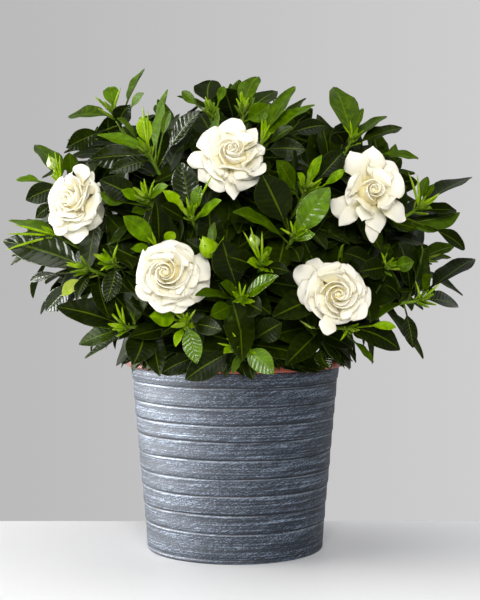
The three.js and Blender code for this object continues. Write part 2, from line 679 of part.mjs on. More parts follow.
// A petal that wraps the heart of a bloom
function innerPetal(bloom, number) {
  const turn = (number / INNER_PETALS) * Math.PI * 2 + bloom.index;
  const outward = turnedWay(bloom, turn);
  const root = bloom.heart.clone().addScaledVector(outward, BUD_RADIUS * 0.6);
  const tip = bloom.heart.clone().addScaledVector(outward, BLOOM_RADIUS * 0.34)
    .addScaledVector(bloom.way, BLOOM_RADIUS * 0.36);
  const middle = bloom.heart.clone().addScaledVector(outward, BLOOM_RADIUS * 0.38);
  const along = tip.clone().sub(root).normalize();
  const across = new THREE.Vector3().crossVectors(along, outward).normalize();
  const face = outward.clone().multiplyScalar(-0.9).addScaledVector(across, 0.43);
  return {
    root, middle, tip, face, width: INNER_PETAL_WIDTH, fold: 0.3, petiole: 0.04,
    thickness: PETAL_THICKNESS, outline: "petal", stations: "short",
  };
}

// A shoot's stem from its apex inwards, and the points on it
function layShoot(shoot, index, tip) {
  const way = tip.clone().sub(CROWN_HEART).normalize();
  const length = Math.min(STEM_LENGTH, tip.distanceTo(CROWN_HEART) - HEART_CLEAR);
  shoot.index = index;
  shoot.tip = tip;
  shoot.way = way;
  shoot.endWay = shoot.endWay ?? way;
  shoot.steps = shoot.steps ?? 1;
  shoot.length = length;
  shoot.foot = tip.clone().addScaledVector(way, -length);
  shoot.middle = tip.clone().addScaledVector(shoot.endWay, -0.5 * length);
  shoot.footWay = shoot.middle.clone().sub(shoot.foot).normalize();
  shoot.across = squareTo(way, Math.abs(way.z) > 0.9 ? new THREE.Vector3(1, 0, 0) : UP);
  shoot.other = new THREE.Vector3().crossVectors(way, shoot.across);
  shoot.twist = chance(index, 3) * Math.PI;
  shoot.pointBelow = (below) => tip.clone().addScaledVector(way, -Math.min(below, length - 4));
  shoot.rootToward = (point, least) => {
    const below = -point.clone().sub(tip).dot(way);
    const axis = shoot.pointBelow(Math.max(least, below));
    return axis.addScaledVector(squareTo(way, point.clone().sub(axis)), STEM_TIP_RADIUS * ROOT_OUT);
  };
  return shoot;
}

// Adds a leaf's first clear attempt; the first round also wants it clear of its own shoot's leaves
function placeLeaf(node, makeForm, parts) {
  for (const strict of [true, false]) {
    for (let attempt = 0; attempt < TRIES; attempt += 1) {
      const form = makeForm(attempt);
      const fat = blade(form, CLEARANCE);
      const clear = isClear(node, fat, false);
      let alone = true;
      if (clear && strict) {
        const bare = blade(pastRoot(form, 0.2), 0);
        alone = isClear(node, bare, true);
        bare.delete();
      }
      fat.delete();
      if (clear && alone) {
        const body = blade(form, 0);
        place(node, body);
        parts.push(body);
        return;
      }
    }
  }
}

// Turned solids of revolution round the pot's axis
function turned(profile, sides) {
  return solid(new THREE.LatheGeometry(profile.map(([radius, z]) => new THREE.Vector2(radius, z)), sides)
    .rotateX(Math.PI / 2));
}

function potRadius(z) {
  return POT_BASE_RADIUS + ((POT_TOP_RADIUS - POT_BASE_RADIUS) * z) / POT_HEIGHT;
}

// Zinc pot: each band flares to a sharp lower edge and steps in below it
function zincPot() {
  const profile = [[0, 0], [POT_BASE_RADIUS, 0]];
  for (const z of LEDGE_HEIGHTS) {
    profile.push([potRadius(z) - LEDGE_DEPTH, z - LEDGE_DROP], [potRadius(z), z]);
  }
  profile.push([POT_TOP_RADIUS, POT_HEIGHT], [POT_TOP_RADIUS - POT_WALL, POT_HEIGHT]);
  profile.push([POT_BASE_RADIUS - POT_WALL - LEDGE_DEPTH, POT_WALL], [0, POT_WALL]);
  return turned(profile, POT_SIDES);
}

// Grow pot: thin tapered wall, and a flange that rests on the zinc pot's edge
function growPot() {
  const flange = POT_HEIGHT + SEAT_GAP;
  const top = flange + GROW_RIM_HEIGHT;
  return turned([
    [0, GROW_BASE_Z], [GROW_BASE_RADIUS, GROW_BASE_Z], [GROW_NECK_RADIUS, flange],
    [GROW_RIM_RADIUS - 1, flange], [GROW_RIM_RADIUS, flange + GROW_EDGE],
    [GROW_RIM_RADIUS - 0.6, top - GROW_EDGE], [GROW_RIM_RADIUS - 2 * GROW_EDGE, top],
    [GROW_NECK_RADIUS - 0.5, top - 0.5],
    [GROW_BASE_RADIUS - GROW_WALL, GROW_BASE_Z + GROW_WALL], [0, GROW_BASE_Z + GROW_WALL],
  ], POT_SIDES);
}

// Inner radius of the grow pot at a height
function growInside(z) {
  const low = GROW_BASE_Z + GROW_WALL;
  const high = POT_HEIGHT + SEAT_GAP + GROW_RIM_HEIGHT - 0.5;
  const share = (z - low) / (high - low);
  return GROW_BASE_RADIUS - GROW_WALL + (GROW_NECK_RADIUS - 0.5 - GROW_BASE_RADIUS + GROW_WALL) * share;
}

// Soil: fills the grow pot to below its rim, with a round hole for the woody stem
function soilBody() {
  const low = GROW_BASE_Z + GROW_WALL + SEAT_GAP;
  const hole = TRUNK_RADIUS + SEAT_GAP;
  return turned([
    [0, low], [growInside(low) - SOIL_GAP, low], [growInside(SOIL_TOP_Z) - SOIL_GAP, SOIL_TOP_Z],
    [hole, SOIL_TOP_Z], [hole, SOIL_TOP_Z - STEM_HOLE_DEPTH], [0, SOIL_TOP_Z - STEM_HOLE_DEPTH],
  ], POT_SIDES);
}

// Main limbs from the trunk: the leader, a low ring and a high ring
function limbLines() {
  const limbs = [{ start: new THREE.Vector3(0, 0, TRUNK_TOP_Z - 4), end: new THREE.Vector3(0, 4, LEADER_Z) }];
  for (let limb = 0; limb < LIMBS_ROUND; limb += 1) {
    for (const ring of LIMB_RINGS) {
      const turn = (limb / LIMBS_ROUND) * Math.PI * 2 + ring.turn;
      limbs.push({
        start: new THREE.Vector3(0, 0, ring.low),
        end: new THREE.Vector3(Math.cos(turn) * ring.reach, Math.sin(turn) * ring.reach, ring.high),
      });
    }
  }
  return limbs;
}

// Woody stem: a trunk out of the soil, limbs, and a twig to the foot of every shoot
function woodyStem(shoots) {
  const foot = new THREE.Vector3(0, 0, SOIL_TOP_Z - STEM_HOLE_DEPTH + SEAT_GAP);
  const top = new THREE.Vector3(0, 0, TRUNK_TOP_Z);
  const parts = [stemSolid(foot, foot.clone().lerp(top, 0.5), top, TRUNK_RADIUS, TRUNK_RADIUS * 0.62, 8, 1)];
  const limbs = limbLines();
  for (const { start, end } of limbs) {
    parts.push(stemSolid(start, start.clone().lerp(end, 0.5), end, LIMB_RADIUS, LIMB_TIP_RADIUS, 4, 1));
  }
  for (const shoot of shoots) {
    const limb = limbs.reduce((best, other) => (
      other.end.distanceTo(shoot.foot) < best.end.distanceTo(shoot.foot) ? other : best));
    const end = shoot.foot.clone().addScaledVector(shoot.footWay, -SEAT_GAP);
    const span = limb.end.distanceTo(end);
    const middle = end.clone().addScaledVector(shoot.footWay, -0.45 * span);
    const from = limb.end.clone().lerp(limb.start, 0.06 + 0.4 * chance(shoot.index, 5));
    parts.push(stemSolid(from, middle, end, TWIG_RADIUS, STEM_RADIUS, 3, 1));
  }
  return fuse(parts);
}

// Green shoot: a stem, its spikes of young leaf and its bud; leaves join it later
function shootStem(shoot) {
  const { tip } = shoot;
  const parts = [stemSolid(shoot.foot, shoot.middle, tip, STEM_RADIUS, STEM_TIP_RADIUS, 4, shoot.steps)];
  for (const [px, py] of (shoot.spikes ?? []).slice(0, SPIKES_PER_SHOOT)) {
    const flat = at(px, py, tip.y);
    const point = at(px, py, tip.y - 0.35 * flat.distanceTo(tip));
    parts.push(spikeSolid(shoot.pointBelow(2), point, SPIKE_WIDTH));
  }
  if (shoot.bud) {
    const [px, py, radius] = shoot.bud;
    const centre = at(px, py, tip.y - 3);
    const foot = tip.clone().addScaledVector(shoot.way, -2);
    parts.push(budSolid(centre, centre.clone().sub(tip).normalize(), radius, radius * 2.6));
    parts.push(stemSolid(foot, tip, centre, BUD_STEM_RADIUS, BUD_STEM_RADIUS, 4, 1));
  }
  return parts;
}

// The first attempt whose blade, past its root, crosses none of the given solids
function firstAlone(parts, makeForm) {
  for (let attempt = 0; attempt < TRIES; attempt += 1) {
    const form = makeForm(attempt);
    const bare = blade(pastRoot(form, 0.3), 0);
    const alone = parts.every((part) => part.intersect(bare).isEmpty());
    bare.delete();
    if (alone) {
      return form;
    }
  }
  return makeForm(0);
}

// Bloom: a short neck, a heart and layered petals, all of one colour
function bloomBody(bloom) {
  const neck = bloom.heart.clone().addScaledVector(bloom.way, -BLOOM_NECK);
  const core = bloom.heart.clone();
  const parts = [
    stemSolid(neck, neck.clone().lerp(core, 0.5), core, NECK_RADIUS, BUD_RADIUS, 6, 1),
    budSolid(core.clone().addScaledVector(bloom.way, 4), bloom.way, BUD_RADIUS, HEART_LENGTH),
  ];
  for (let number = 0; number < INNER_PETALS; number += 1) {
    parts.push(blade(innerPetal(bloom, number), 0));
  }
  bloom.petals.forEach((petal, number) => {
    const choice = firstAlone(parts, (attempt) => seenPetal(bloom, number, attempt));
    parts.push(blade(choice, 0));
  });
  return fuse(parts);
}

function layBloom(bloom, index) {
  const [px, py] = bloom.centre;
  const [right, near, up] = bloom.faces;
  bloom.index = index;
  bloom.way = new THREE.Vector3(right, -near, up).normalize();
  bloom.heart = at(px, py, crownDepth(px, py) + bloom.inset);
  bloom.across = squareTo(bloom.way, UP);
  bloom.other = new THREE.Vector3().crossVectors(bloom.way, bloom.across);
  return bloom;
}

function buildPlant() {
  const plant = new THREE.Group();
  const addNode = (name, body, material) => plant.add(meshOf(name, body, material));
  const fixed = [
    ["zinc_pot", zincPot(), ZINC_GREY],
    ["grow_pot", growPot(), CLAY_PLASTIC],
    ["soil", soilBody(), SOIL_BROWN],
  ];

  const blooms = BLOOMS.map(layBloom);
  for (const bloom of blooms) {
    fixed.push([bloom.name, bloomBody(bloom), PETAL_WHITE]);
  }

  const shoots = [];
  SHOOTS.forEach((shoot, number) => {
    const [px, py] = shoot.apex;
    const tip = at(px, py, crownDepth(px, py) + APEX_INSET);
    shoots.push(layShoot({ ...shoot, pairs: INNER_PAIRS }, number, tip));
  });
  BACK_SHOOTS.forEach((shoot, number) => {
    const turn = THREE.MathUtils.degToRad(shoot.turn);
    const rise = THREE.MathUtils.degToRad(shoot.rise);
    const tip = new THREE.Vector3(
      Math.cos(rise) * Math.cos(turn) * (CROWN_HALF_WIDTH - BACK_INSET),
      Math.cos(rise) * Math.sin(turn) * (CROWN_HALF_DEPTH - BACK_DEPTH_INSET),
      CROWN_CENTRE.z + Math.sin(rise) * (CROWN_HALF_HEIGHT - BACK_INSET));
    shoots.push(layShoot({ ...shoot, leaves: [], pairs: BACK_PAIRS }, SHOOTS.length + number, tip));
  });
  blooms.forEach((bloom, number) => {
    const tip = bloom.heart.clone().addScaledVector(bloom.way, -BLOOM_NECK - SEAT_GAP);
    const stalk = { name: `${bloom.name}_stalk`, leaves: [], pairs: [], endWay: bloom.way, steps: 3 };
    shoots.push(layShoot(stalk, SHOOTS.length + BACK_SHOOTS.length + number, tip));
  });

  fixed.push(["woody_stem", woodyStem(shoots), BARK_BROWN]);
  for (const [name, body, material] of fixed) {
    place(name, body);
    addNode(name, body, material);
  }

  const growing = shoots.map((shoot) => {
    const parts = shootStem(shoot);
    parts.forEach((part) => place(shoot.name, part));
    return { shoot, parts };
  });
  for (const { shoot, parts } of growing) {
    shoot.leaves.forEach((leaf, number) => {
      placeLeaf(shoot.name, (attempt) => seenLeaf(shoot, number, attempt), parts);
    });
  }
  for (const { shoot, parts } of growing) {
    shoot.pairs.forEach((pair, row) => {
      for (const number of [0, 1]) {
        placeLeaf(shoot.name, (attempt) => pairLeaf(shoot, row, number, attempt), parts);
      }
    });
    addNode(shoot.name, fuse(parts), LEAF_GREEN);
  }
  return plant;
}

export default buildPlant();
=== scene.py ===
# A flowering gardenia in a ridged zinc pot. The plan is in millimetres, and the meshes are in metres.
import math

import bpy
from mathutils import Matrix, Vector, noise
from mathutils.kdtree import KDTree


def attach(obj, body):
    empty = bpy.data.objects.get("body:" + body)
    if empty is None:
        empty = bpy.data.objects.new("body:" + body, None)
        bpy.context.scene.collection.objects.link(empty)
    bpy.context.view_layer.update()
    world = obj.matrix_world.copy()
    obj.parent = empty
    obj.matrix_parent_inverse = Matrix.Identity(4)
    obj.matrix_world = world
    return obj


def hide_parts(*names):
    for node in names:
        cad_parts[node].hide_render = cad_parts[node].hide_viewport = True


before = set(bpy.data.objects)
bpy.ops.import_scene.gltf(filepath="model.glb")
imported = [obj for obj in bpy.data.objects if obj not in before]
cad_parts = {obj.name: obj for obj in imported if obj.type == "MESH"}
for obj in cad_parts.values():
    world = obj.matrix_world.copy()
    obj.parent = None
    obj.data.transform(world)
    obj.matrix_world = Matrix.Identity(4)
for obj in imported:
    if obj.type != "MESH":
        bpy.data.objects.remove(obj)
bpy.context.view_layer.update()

MM = 0.001
UP = Vector((0, 0, 1))
# A side for what stands upright, where UP gives none
SLANTING = Vector((0.9, 0.1, 0.3))

# Gap between pieces that rest on each other or grow from each other
SEAT_GAP = 0.3

# Zinc pot: wall radii, height and the heights of the pressed ledges
POT_BASE_RADIUS = 84
POT_TOP_RADIUS = 100
POT_HEIGHT = 174
POT_WALL = 2
LEDGE_HEIGHTS = [29, 46, 63, 79, 96, 113, 128, 144, 162]
LEDGE_DEPTH = 1.4
POT_TURN_STEPS = 200
SEAM_Z = 4
# The sheet's bands slope in by this much below each ledge, a little less than on the node
PRESSED_DEPTH = 0.8
# A ledge's bead, groove and edge from below: inset from the wall, height off the ledge, and tone, low for
# painted shade in the groove and high for a painted highlight on the bead
LEDGE_FORM = [(PRESSED_DEPTH + 0.1, -3.4, 1), (PRESSED_DEPTH - 0.15, -2.5, 2),
              (PRESSED_DEPTH + 0.1, -1.8, 1.3), (PRESSED_DEPTH + 0.6, -1.3, 0),
              (PRESSED_DEPTH + 0.4, -0.8, 0), (0.3, -0.3, 0.6), (0, 0.4, 1.2)]
# How far below each ledge the band under it ends
BAND_END = 3.6
# How far the hand-pressed sheet stands off a true round: outwards, inwards on the whole, and up or down
DENT = 0.35
DENT_INSET = 0.2
LEDGE_SWAY = 0.9

# Plastic grow pot
GROW_BASE_RADIUS = 72
GROW_BASE_Z = 8
GROW_NECK_RADIUS = 96.5
GROW_RIM_RADIUS = 104.5
GROW_RIM_HEIGHT = 7.5
GROW_WALL = 1.8
GROW_TURN_STEPS = 120

# Soil, with crumbs per square metre, and woody stem
SOIL_TOP_Z = 166
SOIL_TURN_STEPS = 64
SOIL_STEPS = 12
CRUMB_DENSITY = 9000
CRUMB_SIZE = 1.6
STEM_HOLE_DEPTH = 45
TRUNK_RADIUS = 7
TRUNK_TOP_Z = 226
LIMB_RADIUS = 4.4
LIMB_TIP_RADIUS = 3.4
LIMBS_ROUND = 6
LEADER_Z = 268
TWIG_RADIUS = 2
# Limbs: turn past an even share of the round, reach, height at the trunk, height at the tip
LIMB_RINGS = [(0.3, 46, 212, 242), (0.8, 52, 182, 198)]

# Crown of the plant
CROWN_CENTRE = Vector((0, 0, 285))
CROWN_HALF_WIDTH = 226
CROWN_HALF_DEPTH = 196
CROWN_HALF_HEIGHT = 176
CROWN_HEART = Vector((0, 8, 208))
# How far the shoots' tips stay inside it: in view, and out of view along its width, depth and height
APEX_INSET = 20
BACK_INSET = (45, 40, 45)

# Shoots, leaves, petals and buds, as their nodes have them
STEM_LENGTH = 72
STEM_RADIUS = 2.1
STEM_TIP_RADIUS = 1.7
# How far a stem's foot stays from the crown's heart
HEART_ROOM = 62
BLADE_THICKNESS = 1.5
PETAL_THICKNESS = 1.8
PETIOLE_HALF = 0.8
LEAF_SLENDERNESS = 0.42
LONGEST_LEAF = 80
WIDEST_LEAF = 32
SHORT_LEAF = 44
ROOT_SPACING = 3.4
# Fold along the middle, as a share of half the width, and the share of a blade that is its stalk
SEEN_LEAF_FOLD = 0.22
LEAF_FOLD = 0.2
LEAF_STALK = 0.06
PETAL_FOLD = 0.2
PETAL_FOOT = 0.04
BLOOM_RADIUS = 37
BUD_RADIUS = 8
BLOOM_NECK = 16
# Attempts for each blade, how close its corners must stand to the node's, and the least share that does
TRIES = 26
MATCH_MM = 0.03
MATCH_SHARE = 0.55

# Finer shapes: stations along and across a blade, and real thicknesses
LEAF_ROWS = (0.03, 0.1, 0.19, 0.29, 0.39, 0.49, 0.59, 0.69, 0.78, 0.86, 0.93, 0.98)
LEAF_COLUMNS = (-1, -0.93, -0.5, 0, 0.5, 0.93, 1)
PLAIN_LEAF_ROWS = (0.04, 0.16, 0.32, 0.5, 0.68, 0.84, 0.95)
PLAIN_LEAF_COLUMNS = (-1, -0.88, 0, 0.88, 1)
PETAL_ROWS = (0.04, 0.16, 0.3, 0.44, 0.57, 0.69, 0.79, 0.87, 0.93, 0.97, 0.993)
PETAL_COLUMNS = (-1, -0.95, -0.65, -0.22, 0.22, 0.65, 0.95, 1)
LEAF_THICKNESS = 0.7
PETAL_FINE_THICKNESS = 0.6
TIP_TAPER = 0.34
PETAL_TAPER = 0.6
PETAL_EDGE_WAVE = 0.07
BUD_STEPS = 10
BUD_SIDES = 20
BUD_RIDGE = 0.07
# A young spike's width, and where along it which share of that is reached
SPIKE_WIDTH = 2.4
SPIKE_FORM = ((0, 0.55), (0.2, 0.8), (0.45, 1), (0.7, 0.8), (0.88, 0.45))
SPIKE_TONE = 0.87

# Inner leaves: how many to a stem or twig, length, lean in degrees, and how far out their tips reach
FILLERS = 20
FILLER_LENGTH = 62
FILLER_LEAN = 62
FILLER_REACH = 0.91
BACK_FILLER_REACH = 0.95
TWIG_LEAVES = 14
TWIG_LEAF_REACH = 0.84
TWIG_LEAF_LENGTH = 62
TUFT_LEAVES = 9
TUFT_LENGTH = 16
TUFT_TONE = 0.82
STALK_LEAVES = 9
STALK_LEAF_LENGTH = 56
INNER_SLENDERNESS = 0.44
# Turn from one leaf to the next up a stem, in radians
LEAF_TURN = 2.4
# Rim leaves: places round the pot, usual length, the most that it may differ, and their highest shoot
SKIRT_LEAVES = 96
SKIRT_LENGTH = 58
SKIRT_SPARE = 32
SKIRT_BELOW_Z = 262
# How the two kinds of rim leaf hang, from a low stem and from a twig: arch, spread and rise of the tips in
# millimetres, and the share of the places that get one
STEM_SKIRT = (0.16, 5, 9, 1.0)
TWIG_SKIRT = (0.3, 30, 26, 0.42)
# Places that are tested along an added leaf and a leaf in view, how far in the picture the added one keeps
# from blooms and leaves, how far behind a bloom it may stand beside it, and how far it keeps from the pot
TESTED = (0.4, 0.7, 1)
SEEN_TESTED = (0.4, 0.55, 0.7, 0.85, 1)
BLOOM_CLEAR_PX = 37
LEAF_CLEAR_PX = 7
BEHIND_BLOOM = 10
ABOVE_RIM = 3
OUTSIDE_RIM = 6

# What spreads a set of keys evenly over the repeatable draws
WORD = 2 ** 32
KEY_START = 2166136261
KEY_FACTOR = 16777619
END_FACTOR = 2246822519

# Where the seeded numbers of each kind of blade begin, with 100 for each shoot or bloom
BLADE_KEYS = 100
PAIR_KEYS = 40
RING_KEYS = 50
FILLER_KEYS = 60
SKIRT_KEYS = 7000
TWIG_KEYS = 9000
TUFT_KEYS = 11000

# Petals rolled round the heart of each bloom: how many in a ring, arc in degrees, radius, height
HEART_WRAPS = [(2, 230, 3.2, 15.5), (3, 170, 6.4, 15), (4, 130, 10.2, 13.4), (5, 100, 14.4, 10.5)]
WRAP_COLUMNS = (-1, -0.86, -0.6, -0.3, 0, 0.3, 0.6, 0.86, 1)
WRAP_ROWS = (0, 0.3, 0.6, 0.85, 1)
WRAP_LOOSER = 0.3
CORE_RADIUS = 11.5
CORE_LENGTH = 20
# Painted shade: the tone that darkens the heart's core, which shows between its rolled petals
CORE_SHADE = 3.4
SEPALS = 6
SEPAL_RADIUS = 1.1

# Colours along each ramp
LEAF_STOPS = [(0.0, "#121a02"), (0.25, "#212e02"), (0.5, "#3c5400"), (0.72, "#5c8000"), (0.86, "#8aae04"),
              (1.0, "#a9b54e")]
UNDER_STOPS = [(0.0, "#222f08"), (0.5, "#435c0c"), (0.8, "#72911c"), (1.0, "#8fa044")]
STEM_STOPS = [(0.3, "#56741a"), (0.7, "#789428")]
BUD_STOPS = [(0.3, "#7f9c3a"), (0.7, "#a9bb68")]
BARK_STOPS = [(0.3, "#3b2c1c"), (0.5, "#65503a"), (0.75, "#8a7558")]
SOIL_STOPS = [(0.35, "#1d140d"), (0.6, "#3a281a"), (0.8, "#5c4631")]
PLASTIC_STOPS = [(0.3, "#97432f"), (0.7, "#a54e38")]
# Ivory petal from foot to tip: the ochre and dull cream near the foot paint shade in the deep gaps, over the
# foot's real yellow-green
PETAL_STOPS = [(0.0, "#a0682a"), (0.14, "#d9ca8e"), (0.33, "#ebe4bf"), (0.6, "#f1ebd2"), (1.0, "#f1ecd9")]
ZINC_STOPS = [(0.41, "#080d15"), (0.51, "#212a36"), (0.61, "#96a4b6")]
VEIN_COLOUR = "#7c9a0c"
VEIN_SHARE = 0.27
UNDER_VEIN_COLOUR = "#8fa650"
PETAL_EDGE_COLOUR = "#d8c98f"
# Painted shade in the zinc pot's grooves, seam and foot
GROOVE_SHADE_COLOUR = "#14171c"
# Painted highlight along the zinc pot's beads
BEAD_HIGHLIGHT_COLOUR = "#cfd8e2"
VEIN_PAIRS = 9
VEIN_SWEEP = 0.15
# How far a tone of 1 moves a petal's colour towards that of its foot, which paints shade in the heart
HEART_SHADE = 0.1

# Kinds of node that the looks use most, with the settings of a smooth rise and of a mix of two colours
MATH = "ShaderNodeMath"
RANGE = "ShaderNodeMapRange"
RAMP = "ShaderNodeValToRGB"
MIX = "ShaderNodeMix"
SMOOTH = {"interpolation_type": "SMOOTHSTEP"}
COLOURS = {"data_type": "RGBA"}

# Stage, air and lamps, each lamp with its place, target, size, watts and colour
TABLE_LOW = (-1500, -1000, -40)
TABLE_HIGH = (1500, 118, 0)
AIR_STOPS = [(0.0, "#fbfcff"), (0.12, "#505358"), (1.0, "#303338")]
AIR_STRENGTH = 2.5
# The backdrop is painted darker at the left and lighter at the right, as light falls on a wall
WALL_LEFT = "#b8b7b7"
WALL_RIGHT = "#d1d0d1"
# How much of the wall shows in what mirrors it
WALL_MIRRORED = 0.8
LAMPS = [
    ("left softbox", (-2400, -500, 1600), (0, 0, 200), (1800, 2200), 33, "#fffaf2"),
    ("top softbox", (0, -300, 1900), (0, 0, 300), (1500, 1100), 12, "#ffffff"),
    ("front softbox", (100, -2600, 1200), (0, 0, 200), (1400, 900), 63, "#fdfcff"),
]
STRIP = ("left strip", (-900, -200, 350), (0, 0, 120), (1400, 700), 70, "#ffffff")

# The picture's pinhole view
EYE = Vector((0, -1315, 282))
FOCAL_PX = 1365
CENTRE_PX = 235
HORIZON_PX = 252.4
PICTURE_PX = (480, 600)
SENSOR = 36

# Share of young colour in each tone of leaf: 0 is old and dark, 1 is pale
TONES = {"dark": 0.0, "glossy": 0.12, "deep": 0.25, "olive": 0.4, "under": 0.45, "mid": 0.48, "green": 0.6,
         "shining": 0.62, "young": 0.74, "bright": 0.84, "pale": 1.0}
# Tones of the leaves that mirror the light
SHINY = ("glossy", "shining")

# Finishes of a shoot's piece, in the order of its looks, and the third look of a bloom's piece
LEAF_FINISH = 0
UNDER_FINISH = 1
STEM_FINISH = 2
BUD_FINISH = 3
SHINY_FINISH = 4
SHOOT_LOOKS = ("leaf_upper", "leaf_under", "green_stem", "green_bud", "leaf_shiny")
NECK_FINISH = 2

